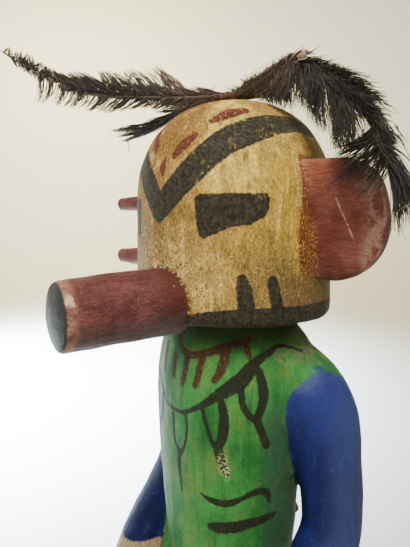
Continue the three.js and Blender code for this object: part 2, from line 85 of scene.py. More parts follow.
class Finish:
    """A material built up node by node; every socket value is in the units of the doll, millimetres."""

    def __init__(self, name):
        self.material = bpy.data.materials.new(name)
        self.material.use_nodes = True
        self.nodes = self.material.node_tree.nodes
        self.links = self.material.node_tree.links
        self.surface = self.nodes["Principled BSDF"]
        coords = self.nodes.new("ShaderNodeTexCoord")
        scale = self.nodes.new("ShaderNodeVectorMath")
        scale.operation = "SCALE"
        scale.inputs["Scale"].default_value = 1 / MM
        self.links.new(coords.outputs["Object"], scale.inputs[0])
        self.place = scale.outputs[0]

    def put(self, socket, value):
        """Links a node's output to a socket, or sets the socket to a plain value."""
        if isinstance(value, bpy.types.NodeSocket):
            self.links.new(value, socket)
        elif isinstance(value, tuple) and len(value) == 3 and socket.type == "RGBA":
            socket.default_value = (*value, 1)
        else:
            socket.default_value = value

    def noise(self, size, detail=3.0, stretch=(1, 1, 1), rough=0.55):
        """A 0-to-1 noise with lumps of a size in millimetres, drawn out where a part of stretch is small."""
        mapping = self.nodes.new("ShaderNodeMapping")
        mapping.inputs["Scale"].default_value = tuple(part / size for part in stretch)
        self.links.new(self.place, mapping.inputs["Vector"])
        texture = self.nodes.new("ShaderNodeTexNoise")
        self.links.new(mapping.outputs[0], texture.inputs["Vector"])
        texture.inputs["Scale"].default_value = 1.0
        texture.inputs["Detail"].default_value = detail
        texture.inputs["Roughness"].default_value = rough
        return texture.outputs["Fac"]

    def attribute(self, name):
        reader = self.nodes.new("ShaderNodeAttribute")
        reader.attribute_name = name
        return reader.outputs["Fac"]

    def axis(self, index):
        split = self.nodes.new("ShaderNodeSeparateXYZ")
        self.links.new(self.place, split.inputs[0])
        return split.outputs[index]

    def math(self, kind, first, second=0.0, third=0.0):
        step = self.nodes.new("ShaderNodeMath")
        step.operation = kind
        for socket, value in zip(step.inputs, (first, second, third)):
            self.put(socket, value)
        return step.outputs[0]

    def ramp(self, value, low, high, to_low=0.0, to_high=1.0):
        """A smooth rise from to_low at low to to_high at high."""
        step = self.nodes.new("ShaderNodeMapRange")
        step.interpolation_type = "SMOOTHSTEP"
        given = {"Value": value, "From Min": low, "From Max": high, "To Min": to_low, "To Max": to_high}
        for key, part in given.items():
            self.put(step.inputs[key], part)
        return step.outputs[0]

    def both(self, *shares):
        """The product of shares, for what shows only where they all do."""
        result = shares[0]
        for share in shares[1:]:
            result = self.math("MULTIPLY", result, share)
        return result

    def rest(self, share):
        """What a share leaves."""
        return self.math("SUBTRACT", 1.0, share)

    def flecks(self, size, low, high, stretch=(1, 1, 1), most=1.0):
        """Patches where a noise of a size in millimetres is above low, fully so above high."""
        return self.ramp(self.noise(size, 3, stretch), low, high, 0.0, most)

    def edge(self, field, ragged, softness):
        """1 inside a field of signed distance and 0 outside it, along an edge made ragged by a noise."""
        shifted = self.math("MULTIPLY_ADD", self.math("SUBTRACT", ragged, 0.5), 0.9, field)
        return self.ramp(shifted, softness, -softness)

    def blend(self, share, first, second, kind="MIX"):
        """The first colour where a share is 0, going over to the second where it is 1."""
        step = self.nodes.new("ShaderNodeMix")
        step.data_type = "RGBA"
        step.blend_type = kind
        self.put(step.inputs["Factor"], share)
        self.put(step.inputs[6], first)
        self.put(step.inputs[7], second)
        return step.outputs[2]

    def ground(self, noise, low, high, first, second):
        """A ground of two tones, which go over into each other where a noise is between low and high."""
        return self.blend(self.ramp(noise, low, high), srgb(*first), srgb(*second))

    def layers(self, colour, *rows):
        """The colour with tone after tone laid over it. A row is a tone and the shares that it shows by."""
        for tone, *shares in rows:
            colour = self.blend(self.both(*shares), colour, srgb(*tone))
        return colour

    def grit(self, colour, least, most, stretch=(1, 1, 1)):
        """The colour darkened and lightened by two fine noises, as rubbed earth paint on open grain is."""
        for size, low, high in ((0.55, least, most), (1.7, (1 + least) / 2, (1 + most) / 2)):
            share = self.ramp(self.noise(size, 4, stretch, 0.7), 0.36, 0.64, low, high)
            grey = self.nodes.new("ShaderNodeCombineColor")
            for channel in grey.inputs:
                self.put(channel, share)
            colour = self.blend(1.0, colour, grey.outputs[0], "MULTIPLY")
        return colour

    def finish(self, colour, roughness, height=None, depth=0.1, shine=0.18):
        """The finished material; height is a relief whose full depth is given in millimetres."""
        self.put(self.surface.inputs["Base Color"], colour)
        self.put(self.surface.inputs["Roughness"], roughness)
        self.surface.inputs["Specular IOR Level"].default_value = shine
        if height is not None:
            bump = self.nodes.new("ShaderNodeBump")
            bump.inputs["Distance"].default_value = depth * MM
            bump.inputs["Strength"].default_value = 1.0
            self.links.new(height, bump.inputs["Height"])
            self.links.new(bump.outputs[0], self.surface.inputs["Normal"])
        return self.material


def apart(edge, axis):
    """How far apart the ends of an edge are along one axis."""
    return abs(edge.verts[0].co[axis] - edge.verts[1].co[axis])


def round_off(bm, edges, radius, segments):
    """Rounds edges off to a radius."""
    given = {"affect": "EDGES", "profile": 0.5, "material": -1}
    bmesh.ops.bevel(bm, geom=edges, offset=radius, segments=segments, **given)


BASE_LOW, BASE_HIGH = (Vector(corner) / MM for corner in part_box("base"))
BASE_CORNER = 16
BASE_EDGE = 1.5

bm = bmesh.new()
bmesh.ops.create_cube(bm, size=1.0)
bmesh.ops.scale(bm, verts=bm.verts, vec=BASE_HIGH - BASE_LOW)
bmesh.ops.translate(bm, verts=bm.verts, vec=(BASE_LOW + BASE_HIGH) / 2)
uprights = [edge for edge in bm.edges if apart(edge, 2) > 1]
round_off(bm, uprights, BASE_CORNER, 10)
rims = [edge for edge in bm.edges if apart(edge, 2) < 0.01 and edge.calc_face_angle(0) > 1]
round_off(bm, rims, BASE_EDGE, 4)
base_board = make_object("base_board", bm)
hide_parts("base")

pine = Finish("pine_base")
fibres = pine.noise(1.1, 4, (0.06, 1, 1))
rings = pine.noise(7, 2, (0.1, 1, 0.6))
dirt = pine.noise(16, 4)
wood = pine.layers(
    pine.ground(fibres, 0.3, 0.7, (122, 94, 62), (160, 128, 88)),
    ((112, 82, 52), pine.ramp(rings, 0.48, 0.62)),
    ((84, 66, 48), pine.ramp(dirt, 0.45, 0.75, 0, 0.6)),
)
dry_pine = pine.finish(wood, pine.ramp(dirt, 0.3, 0.8, 0.62, 0.85), pine.math("ADD", fibres, dirt), 0.12)
base_board.data.materials.append(dry_pine)

# Figure. The whole doll but its fitted parts, carved with knife and rasp from one cottonwood root: case mask,
# torso, arms that meet the body below the elbows, belt, kilt, legs and moccasins. The root is dry and light,
# its grain runs up the figure, and earth paints are rubbed straight onto the wood.
MASK_RADIUS = 31
MASK_RIM_Z = 212
MASK_RIM_EDGE = 2
DOME_HEIGHT = 33
DOME_FULLNESS = 2.33
CROWN_Z = 277.5
TORSO_SQUARENESS = 2.15
YOKE_SQUARENESS = 2.2
KILT_SQUARENESS = 2.1

# Level sections, top to bottom: height, half width, half depth, and the middle's y
TORSO_LEVELS = [
    (220, 17, 16, 0),
    (212, 19, 18, -0.5),
    (205, 22, 20.4, -1),
    (196, 24.2, 21.6, -1.5),
    (186, 24.8, 22, -1.6),
    (172, 24.3, 21.8, -1.6),
    (158, 23.6, 21, -1.6),
    (144, 22.8, 20, -1.4),
    (132, 22, 19.4, -1.3),
    (118, 22, 19.4, -1.3),
]
YOKE_LEVELS = [
    (211, 19, 15, 1),
    (205, 24.5, 17.8, 1.4),
    (198, 28.6, 19, 1.8),
    (189, 30.4, 18.4, 2.4),
    (179, 29, 15.4, 3.4),
    (168, 24, 11, 4.6),
]
BELT_LEVELS = [
    (130, 22.8, 20.8, -1.4),
    (128.8, 24, 22, -1.4),
    (122.2, 24.6, 22.6, -1.4),
    (121, 23.8, 21.8, -1.4),
]
KILT_LEVELS = [
    (126, 22.4, 20.6, -1.4),
    (118, 24.6, 22.2, -1.4),
    (104, 27, 24, -1.2),
    (88, 29.4, 25.2, -1.1),
    (76, 30.8, 25.9, -1),
    (73.4, 30.9, 25.9, -1),
    (72, 30, 25, -1),
]

# Each arm's course, shoulder to fist: outward, y, z, and the limb's radius
ARM_COURSE = [
    (11, 2.5, 203, 8.5),
    (19, 3.6, 199.5, 10.2),
    (26.4, 5, 192.5, 10.8),
    (30.8, 6.4, 182, 10.4),
    (32.4, 7, 168, 9.8),
    (34, 7, 155, 9),
    (34.6, 4.8, 147, 8.8),
    (33.8, -1.6, 139.5, 8.5),
    (32.8, -11.5, 130.5, 8.2),
    (31.2, -20.5, 121.5, 7.7),
    (28.8, -25.5, 115.2, 6.7),
    (28.2, -29, 111.6, 7.3),
    (27.6, -31.8, 108.8, 6.4),
]
RIGHT_ARM_TUCK = 3.2
WEB_COURSE = [(16, 2, 141.4, 4.6), (22, -3, 134, 7.6), (27.2, -10, 125.5, 8), (26, -17.4, 117.4, 6.6)]
FIST_Z = 110.2
FINGER_WIDTH = 3.1
FINGER_GROOVE = 0.7
LEG_OUT = 12.6
LEG_LEVELS = [
    (80, 10.6, 10.8, -0.5),
    (66, 10, 10.6, -0.6),
    (54, 9.2, 9.8, -0.4),
    (42, 9.5, 10.3, 0.4),
    (30, 8.4, 9, 0),
    (15, 8.2, 8.8, 0),
]
CUFF_LEVELS = [(31, 8.9, 9.5, 0), (30, 9.8, 10.4, 0), (25, 9.9, 10.5, 0), (24, 9, 9.6, 0)]
SOLE_Z = 9.3
FOOT_HEEL_Y = 10.5
FOOT_TOE_Y = -25
FOOT_HALF_WIDTH = 9
FOOT_HALF_HEIGHT = 6.6
CARVING_GRID = 0.945
SMOOTHING_PASSES = 3


def along_rows(rows, share):
    """The row at a share of the way along a list of rows, on a smooth curve through them all."""
    position = min(max(share, 0.0), 1.0) * (len(rows) - 1)
    first = min(int(position), len(rows) - 2)
    part = position - first
    before, start, end, after = (rows[min(max(first + step, 0), len(rows) - 1)] for step in (-1, 0, 1, 2))
    return tuple(
        0.5
        * (
            2 * b
            + (c - a) * part
            + (2 * a - 5 * b + 4 * c - d) * part**2
            + (3 * b - a - 3 * c + d) * part**3
        )
        for a, b, c, d in zip(before, start, end, after)
    )


def tube(bm, sides, rings, rule):
    """A closed tube. rule gives a point's place from its x and y on the unit circle and its share along."""
    made = bmesh.ops.create_grid(bm, x_segments=sides, y_segments=rings, size=0.5)
    verts = made["verts"]
    for vert in verts:
        turn = (vert.co.x + 0.5) * math.tau
        vert.co = rule(math.cos(turn), math.sin(turn), vert.co.y + 0.5)
    bmesh.ops.remove_doubles(bm, verts=verts, dist=0.0001)
    rims = {edge for vert in bm.verts for edge in vert.link_edges if edge.is_boundary}
    bmesh.ops.holes_fill(bm, edges=list(rims))


def stack(bm, levels, rings, sides=64, squareness=2.0, out=0.0):
    """A form given by level oval sections; squareness 2 is a true oval, and more is boxier."""

    def rule(x, y, share):
        z, wide, deep, middle = along_rows(levels, share)
        corner = (abs(x) ** squareness + abs(y) ** squareness) ** (-1 / squareness)
        return Vector((out + x * corner * wide, middle + y * corner * deep, z))

    tube(bm, sides, rings, rule)


def arm_course(hand):
    """An arm's course, hand 1 for the left and -1 for the right, which is drawn in below the shoulder."""
    tuck = RIGHT_ARM_TUCK if hand < 0 else 0
    return [(row[0] - tuck * min(1, index / 4), *row[1:]) for index, row in enumerate(ARM_COURSE)]


def limb(bm, rows, hand, rings=60, sides=40):
    """A round limb with rounded ends along a course of (outward, y, z, radius)."""

    def rule(x, y, share):
        out, middle_y, z, radius = along_rows(rows, share)
        ahead, behind = (along_rows(rows, share + step) for step in (0.01, -0.01))
        tangent = Vector((0, ahead[1] - behind[1], ahead[2] - behind[2])).normalized()
        side = Vector((1, 0, 0)).cross(tangent)
        ending = min(1, min(share, 1 - share) * len(rows) * 1.6)
        radius *= math.sqrt(max(0.04, 1 - 0.96 * (1 - ending) ** 2))
        return Vector((hand * out, middle_y, z)) + Vector((x * radius, 0, 0)) + side * y * radius

    tube(bm, sides, rings, rule)


def turned(bm, profile, steps=96):
    """A form turned as on a lathe, from a profile of (out, z) points spun round the upright axis."""
    verts = [bm.verts.new((out, 0, z)) for out, z in profile]
    edges = [bm.edges.new(pair) for pair in zip(verts, verts[1:])]
    given = {"cent": (0, 0, 0), "axis": (0, 0, 1), "use_merge": True, "use_duplicate": False}
    bmesh.ops.spin(bm, geom=verts + edges, angle=math.tau, steps=steps, **given)
    bmesh.ops.remove_doubles(bm, verts=bm.verts, dist=0.001)


def mask_shell(bm):
    """The case mask: rim, wall and dome, turned round the doll's upright axis."""
    wall_top = CROWN_Z - DOME_HEIGHT
    profile = [(0, MASK_RIM_Z), (MASK_RADIUS - MASK_RIM_EDGE, MASK_RIM_Z)]
    for step in range(1, 7):
        turn = step / 6 * math.pi / 2
        out = MASK_RADIUS - MASK_RIM_EDGE * (1 - math.sin(turn))
        profile.append((out, MASK_RIM_Z + MASK_RIM_EDGE * (1 - math.cos(turn))))
    for step in range(33):
        turn = step / 32 * math.pi / 2
        out = MASK_RADIUS * math.cos(turn) ** (2 / DOME_FULLNESS) if step < 32 else 0
        profile.append((out, wall_top + DOME_HEIGHT * math.sin(turn) ** (2 / DOME_FULLNESS)))
    turned(bm, profile)


def foot(bm, hand):
    """A moccasin: a long rounded form from heel to toe, toed out a little."""
    ankle = SOLE_Z + FOOT_HALF_HEIGHT - 1

    def rule(x, y, share):
        swell = math.sqrt(max(0.06, 1 - (2 * share - 1) ** 4))
        width = FOOT_HALF_WIDTH * swell * (0.9 + 0.14 * math.sin(math.pi * share))
        height = FOOT_HALF_HEIGHT * swell * (1 - 0.3 * share)
        middle_y = FOOT_HEEL_Y + (FOOT_TOE_Y - FOOT_HEEL_Y) * share
        return Vector((hand * (LEG_OUT + 2 * share) + x * width, middle_y, ankle - share + y * height))

    tube(bm, 32, 28, rule)


bm = bmesh.new()
mask_shell(bm)
stack(bm, TORSO_LEVELS, 60, squareness=TORSO_SQUARENESS)
stack(bm, YOKE_LEVELS, 40, squareness=YOKE_SQUARENESS)
stack(bm, BELT_LEVELS, 12, squareness=TORSO_SQUARENESS)
stack(bm, KILT_LEVELS, 50, squareness=KILT_SQUARENESS)
for hand in (1, -1):
    limb(bm, arm_course(hand), hand)
    limb(bm, WEB_COURSE, hand, rings=30)
    stack(bm, LEG_LEVELS, 40, sides=40, out=hand * LEG_OUT)
    stack(bm, CUFF_LEVELS, 10, sides=40, out=hand * LEG_OUT)
    foot(bm, hand)
rough_figure = make_object("rough_figure", bm)
carve = rough_figure.modifiers.new("join", "REMESH")
carve.mode = "VOXEL"
carve.voxel_size = CARVING_GRID * MM
depsgraph = bpy.context.evaluated_depsgraph_get()
joined = bpy.data.meshes.new_from_object(rough_figure.evaluated_get(depsgraph))
bpy.data.objects.remove(rough_figure)
bm = bmesh.new()
bm.from_mesh(joined)
bpy.data.meshes.remove(joined)
bmesh.ops.scale(bm, verts=bm.verts, vec=Vector((1, 1, 1)) / MM)
for _ in range(SMOOTHING_PASSES):
    bmesh.ops.smooth_vert(bm, verts=bm.verts, factor=0.5, use_axis_x=True, use_axis_y=True, use_axis_z=True)
for vert in bm.verts:
    vert.co.z = max(vert.co.z, SOLE_Z)

# Where the snout and the ear meet the mask; the ear's root is a line of (height, degrees round)
SNOUT_Z = 218
SNOUT_ROOT_RADIUS = 9.6
EAR_TOP_Z = 258
EAR_BOTTOM_Z = 224.8
EAR_ROOT_LINE = [(EAR_BOTTOM_Z, 86.1), (235.4, 82.1), (246.1, 79.3), (EAR_TOP_Z, 78.1)]
EAR_ROOT_WIDTH = 12

# Paint on the figure. Each painted stroke is a line laid on the wood as (degrees round from the front,
# height, half width). Each vertex keeps its distance to the nearest edge of each colour, inside it negative.
TORSO_MIDDLE_Y = -1.4
MOCCASIN_TOP_Z = 31.0
KILT_HEM_Z = 71.0
KILT_TOP_Z = 121.2
HEM_BAND = (79.0, 2.6)
HEM_LINE = (84.4, 0.9)
BELT_BAND = (125.0, 3.6)
HAND_TOP_Z = 129.6
SLEEVE_END_Z = 128.6
SHOULDER_Z = 185.0
SLEEVE_TOP_Z = 198.4
RIM_BAND_Z = 217.7
RIM_BAND_DIP = 3.6
RIGHT_EYE_SHIFT = 2.6

# How far the blue sleeve strays past the arm, as (height, distance), and past the web below the elbow
SLEEVE_STRAY = [
    (150, 0.9),
    (166, 1),
    (176, 2.05),
    (184, 2.5),
    (188, 1.9),
    (191.6, 0.85),
    (195.1, -1.3),
    (197.6, -3.4),
]
WEB_STRAY = 1.5
WEB_TOP_Z = 129.8

# Further from its edge than this, no paint is looked for
FAR = 12.0
STROKE_REACH = 6
EYE_ZONE = (222, 258)

# Around painted edges as near as this, the carved mesh is made finer
EDGE_NEAR = 0.75
CHEVRON_RIGHT = [
    (0, 240.4, 0.5),
    (1.5, 243.2, 2.4),
    (5, 246.2, 3.5),
    (12, 249.9, 3.7),
    (20, 253.8, 3.9),
    (28, 257.8, 4),
    (36.5, 261, 4.1),
    (46, 263.3, 4.2),
    (57, 265.3, 4),
    (69, 266.7, 3.6),
    (84, 267.3, 3),
    (99, 267, 2.8),
    (116, 266, 2.2),
    (126, 265, 0.8),
]
CHEVRON_LEFT = [
    (0, 240.4, 0.5),
    (-2, 244, 2.6),
    (-7.6, 249.4, 3.5),
    (-18, 255, 3.6),
    (-28, 258.9, 3.7),
    (-40, 262, 3.8),
    (-57, 265.1, 3.6),
    (-72, 266.6, 3.2),
    (-92, 267, 2.8),
    (-114, 266, 2.2),
    (-124, 265, 0.8),
]
EYE_OUTLINE = [
    (22, 246.6),
    (24.4, 247.5),
    (57, 247.6),
    (58.6, 246.4),
    (58.6, 243.8),
    (57, 241.8),
    (49.5, 239.5),
    (39, 238.7),
    (30, 236.6),
    (26.3, 235.8),
    (23.8, 237),
    (22.4, 241),
]
CHEEK_STROKES = [
    [(45.4, 225.2, 1.5), (46.6, 222, 2.1), (48.2, 216, 2.3)],
    [(60.6, 225, 1.3), (61.8, 222, 1.75), (64.4, 216, 1.75)],
]
NECKLACE = [
    (-96, 202.6, 0.4),
    (-80, 205.2, 0.6),
    (-62, 201.4, 1),
    (-45, 195, 1.2),
    (-32, 191, 0.9),
    (-23.4, 187.9, 0.6),
    (-18.6, 185, 0.6),
    (-5.6, 183.7, 0.6),
    (4.9, 184.2, 0.7),
    (15.8, 186.5, 0.8),
    (22.6, 188.2, 1.1),
    (31.2, 190.9, 1.5),
    (42.5, 194, 2.2),
    (50.7, 196.6, 2.3),
    (57, 199.6, 1.9),
    (63, 201.6, 1.3),
    (70, 203.2, 1),
    (76, 204.8, 0.7),
    (84.5, 204.6, 0.5),
    (95.8, 202.6, 0.4),
]
LOOPS = [
    [(-8.6, 182.4, 0.5), (-8.6, 178.7, 0.5), (-7.6, 173.7, 0.55), (-3, 171, 0.7), (-0.5, 170.4, 0.7)],
    [(5.6, 183.6, 0.5), (6.8, 179.1, 0.5), (4.9, 174.5, 0.55), (-0.5, 170.4, 0.7)],
    [(-2.6, 171.2, 0.8), (-2.8, 166, 0.8), (-1.9, 158, 0.35)],
    [(21.4, 187.3, 0.7), (24.3, 182.4, 0.75), (29, 177.4, 0.8), (33.4, 175.6, 0.9)],
    [(35.2, 190.4, 1), (37.7, 185.1, 1.5), (36.6, 179.6, 1.5), (33.4, 175.6, 1.2)],
    [(33.4, 175.8, 1.4), (35.6, 172.3, 1.4), (40.2, 167.4, 0.6)],
    [(49, 194.6, 1), (50.4, 189.1, 1), (54.8, 186, 1), (60, 184.6, 1)],
    [(62, 198.6, 1.1), (64.3, 192.8, 1.5), (63.7, 189.1, 1.4), (60, 184.9, 1.2)],
    [(59.6, 184.8, 1.3), (67.4, 176.6, 1.2)],
    [(-24, 187, 0.6), (-27, 181, 0.7), (-33, 176, 0.9), (-38, 181, 0.8), (-36, 189, 0.8)],
    [(-33, 176, 1), (-36, 168, 0.5)],
    [(-50, 196, 0.9), (-52, 189, 0.9), (-58, 184, 1), (-64, 190, 0.9), (-62, 199, 0.9)],
    [(-58, 184.6, 1), (-62, 175, 0.7)],
]
BELLY_STROKES = [
    [(18.4, 160.2, 0.3), (24, 159.4, 0.7), (33, 158.6, 1.1), (42, 159, 1.1)]
    + [(51, 160.8, 0.8), (60, 162.4, 1.1), (67, 162.4, 1.2)],
    [(64, 162.6, 1.2), (69.4, 161.6, 1.1), (72, 158.4, 0.6)],
    [(26.5, 150.2, 1.1), (32, 150.3, 1.8), (44, 151.2, 1.9)]
    + [(56, 152.4, 1.7), (66, 153.2, 1.4), (76, 153.8, 1)],
]
RED_STROKES = [
    [(-10, 207.4, 1), (-4, 203.6, 1), (2, 202, 1.1), (10, 201.6, 1.1), (22, 202.8, 1.1), (32, 204.2, 1.2)],
    [(30, 204, 1.2), (44, 205.8, 1.2), (56, 207, 1.1)],
    [(4.8, 201, 1.1), (3.6, 196, 1.1), (2.2, 192.4, 0.7)],
    [(19.6, 202, 1.1), (17.4, 197, 1.2), (14.4, 193, 1)],
    [(38.6, 203.8, 1.5), (35.4, 199, 1.4), (30.6, 195.6, 1)],
    [(53.6, 206.6, 1.1), (55.8, 202.4, 0.8)],
    [(-9.6, 200.4, 0.9), (-8.4, 193.8, 0.7)],
    [(-25, 203, 0.9), (-23, 194, 0.7)],
    [(-42, 205, 0.9), (-38, 196, 0.8)],
]
MASK_SPOTS = [
    [(-20, 266.6, 1.2), (-10, 261, 1.4)],
    [(0.8, 258, 0.5), (0.6, 255, 1.3), (1.2, 253.6, 0.9)],
    [(8.4, 258.2, 1.1), (13.4, 261.2, 1.7), (18.4, 263.2, 1.1)],
    [(28, 267.4, 1.4), (37.6, 269.2, 2.2), (49, 270.4, 1.3)],
    [(-36, 268.6, 1.8), (-52, 270.4, 1.2)],
]


def smoothstep(low, high, value):
    """0 below low, 1 above high, and a smooth rise between."""
    share = np.clip((value - low) / (high - low), 0.0, 1.0)
    return share * share * (3 - 2 * share)


class Canvas:
    """The carved surface that strokes are laid on, and the points whose distances to them are kept."""

    def __init__(self, bm):
        self.tree = BVHTree.FromBMesh(bm)
        self.points = np.array([vert.co[:] for vert in bm.verts])

    def lay(self, stroke, steps=7):
        """A stroke's middle line and half widths in space, cast on the surface from the doll's middle."""
        line = []
        count = (len(stroke) - 1) * steps
        for step in range(count + 1):
            angle, z, half = along_rows(stroke, step / count)
            turn = math.radians(angle)
            middle = Vector((0, TORSO_MIDDLE_Y if z < MASK_RIM_Z else 0, z))
            hit = self.tree.ray_cast(middle, Vector((math.sin(turn), -math.cos(turn), 0)))
            if hit[0] is not None:
                line.append((np.array(hit[0]), half))
        return line

    def distance(self, strokes, field=None):
        """Each point's distance to the nearest stroke's edge, negative inside it."""
        field = np.full(len(self.points), FAR) if field is None else field
        for stroke in strokes:
            line = self.lay(stroke)
            ends = np.array([point for point, _ in line])
            low, high = ends.min(0) - STROKE_REACH, ends.max(0) + STROKE_REACH
            near = np.all((self.points > low) & (self.points < high), axis=1)
            points = self.points[near]
            best = field[near]
            for (start, start_half), (end, end_half) in zip(line, line[1:]):
                way = end - start
                share = np.clip((points - start) @ way / max(way @ way, 1e-9), 0, 1)
                gap = np.linalg.norm(points - start - share[:, None] * way, axis=1)
                best = np.minimum(best, gap - start_half - (end_half - start_half) * share)
            field[near] = best
        return field


def outline_distance(across, up, outline):
    """Signed distance in a plane to a closed outline, negative inside it."""
    corners = np.array(outline, float)
    gap = np.full(len(across), 1e9)
    inside = np.zeros(len(across), bool)
    for (x0, y0), (x1, y1) in zip(corners, np.roll(corners, -1, axis=0)):
        wide, high = x1 - x0, y1 - y0
        share = np.clip(((across - x0) * wide + (up - y0) * high) / (wide * wide + high * high), 0, 1)
        gap = np.minimum(gap, np.hypot(across - x0 - share * wide, up - y0 - share * high))
        crosses = (y0 > up) != (y1 > up)
        inside ^= crosses & (across < x0 + (up - y0) / (high if high else 1e-9) * wide)
    return np.where(inside, -gap, gap)


def arm_distance(points, hand):
    """Distance outside an arm's rounded surface, less what the painter's blue strays past it."""
    best = np.full(len(points), FAR)
    for course, highest, stray in ((arm_course(hand), 300, 0), (WEB_COURSE, WEB_TOP_Z, WEB_STRAY)):
        line = [along_rows(course, step / 80) for step in range(81)]
        for start, end in zip(line, line[1:]):
            first = np.array((hand * start[0], start[1], start[2]))
            way = np.array((hand * end[0], end[1], end[2])) - first
            share = np.clip((points - first) @ way / (way @ way), 0, 1)
            radius = start[3] + (end[3] - start[3]) * share
            gap = np.linalg.norm(points - first - share[:, None] * way, axis=1) - radius - stray
            best = np.where(points[:, 2] < highest, np.minimum(best, gap), best)
    return best - np.interp(points[:, 2], *zip(*SLEEVE_STRAY))


def paint_fields(bm):
    """All the figure's painted edges, as name to distances, with the turn from the front in degrees."""
    canvas = Canvas(bm)
    points = canvas.points
    x, y, z = points.T
    angle = np.degrees(np.arctan2(x, -y))
    round_wall = np.radians(angle) * MASK_RADIUS
    on_wall = (z > EYE_ZONE[0]) & (z < EYE_ZONE[1])
    ink = canvas.distance([CHEVRON_RIGHT, CHEVRON_LEFT] + CHEEK_STROKES)
    for hand, shift in ((1, 0), (-1, RIGHT_EYE_SHIFT)):
        outline = [(hand * math.radians(turn - shift) * MASK_RADIUS, up) for turn, up in EYE_OUTLINE]
        eye = outline_distance(round_wall, z, outline)
        ink = np.where(on_wall, np.minimum(ink, eye), ink)
    ink = canvas.distance([[(-turn, up, half) for turn, up, half in stroke] for stroke in CHEEK_STROKES], ink)
    rim = z - (RIM_BAND_Z - RIM_BAND_DIP * np.exp(-((angle / 26) ** 2)))
    ink = np.minimum(ink, np.where(z > MASK_RIM_Z - 4, rim, FAR))
    ink = np.where(z < MASK_RIM_Z - 1, FAR, ink)
    ink = canvas.distance([NECKLACE] + LOOPS + BELLY_STROKES, ink)
    madder = canvas.distance(RED_STROKES + MASK_SPOTS)
    arm = np.minimum(arm_distance(points, 1), arm_distance(points, -1))
    shoulder = z - SLEEVE_TOP_Z + 0.6 * np.clip(np.abs(x) - 31, 0, None)
    blue = np.maximum(arm, shoulder)
    ear_turn = np.interp(z, *zip(*EAR_ROOT_LINE))
    ear_gap = np.radians(np.maximum(ear_turn - angle, angle - ear_turn - EAR_ROOT_WIDTH)) * MASK_RADIUS
    past_ear = np.maximum(z - EAR_TOP_Z, EAR_BOTTOM_Z - z)
    ear_root = np.where(past_ear > 0, np.hypot(past_ear, ear_gap), ear_gap)
    snout_root = np.where(y < 0, np.hypot(x, z - SNOUT_Z) - SNOUT_ROOT_RADIUS, FAR)
    return {
        "ink": ink,
        "madder": madder,
        "blue": blue,
        "arm": arm,
        "turn": angle,
        "front": 1 - smoothstep(112, 150, np.abs(angle)),
        "ear_root": ear_root,
        "snout_root": snout_root,
    }


def keep_fields(piece, fields):
    """Keeps numbers for each point of a piece, which its paint reads as attributes."""
    for name, values in fields.items():
        layer = piece.data.attributes.new(name, "FLOAT", "POINT")
        layer.data.foreach_set("value", values.astype(np.float32))


# The mesh is made finer along the painted edges, and the fists get their grooves between the fingers
fields = paint_fields(bm)
edge_near = np.minimum.reduce([np.abs(fields["ink"]), np.abs(fields["madder"]), np.abs(fields["blue"])])
bm.verts.index_update()
fine = [
    edge
    for edge in bm.edges
    if max(edge_near[vert.index] for vert in edge.verts) < EDGE_NEAR and edge.verts[0].co.z > BELT_BAND[0]
]
bmesh.ops.subdivide_edges(bm, edges=fine, cuts=1, use_grid_fill=True)
bmesh.ops.triangulate(bm, faces=[face for face in bm.faces if len(face.verts) > 4])
bm.normal_update()
for vert in bm.verts:
    if vert.co.y < -24 and vert.co.z < 120:
        gap = min(abs(vert.co.z - (FIST_Z + step * FINGER_WIDTH)) for step in (-1, 0, 1))
        vert.co -= vert.normal * FINGER_GROOVE * max(0, 1 - gap / 0.9) * min(1, (-24 - vert.co.y) / 3)
roughen(bm, 0.22, 7.0, seed=1)
roughen(bm, 0.1, 2.2, Vector((0, 0, 1)), seed=2)
fields = paint_fields(bm)
figure = make_object("carved_figure", bm)
keep_fields(figure, fields)
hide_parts("figure")

paint = Finish("painted_cottonwood")
height = paint.axis(2)
sideways = paint.axis(0)
ink, madder_edge, sleeve, arm = (paint.attribute(name) for name in ("ink", "madder", "blue", "arm"))
round_turn = paint.attribute("turn")
fibres = paint.noise(0.8, 4, (1, 1, 0.1))
streaks = paint.noise(2.4, 3, (1, 1, 0.1))
clouds = paint.noise(12, 3, (1, 1, 0.6))
crumbs = paint.noise(0.6, 4)
fringe = paint.noise(0.9, 5)
flaking = paint.flecks(0.5, 0.48, 0.6)
pale_streak = paint.ramp(streaks, 0.55, 0.72)
dark_streak = paint.ramp(streaks, 0.45, 0.3)
pale_crumb = paint.ramp(crumbs, 0.57, 0.68)
dark_crumb = paint.ramp(crumbs, 0.43, 0.33)


def level(low, high):
    """A share that rises between two heights."""
    return paint.ramp(height, low, high)


def around(low, high):
    """A share that rises between two turns from the front, in degrees, and fades out toward the back."""
    return paint.both(paint.ramp(round_turn, low, high), paint.attribute("front"))


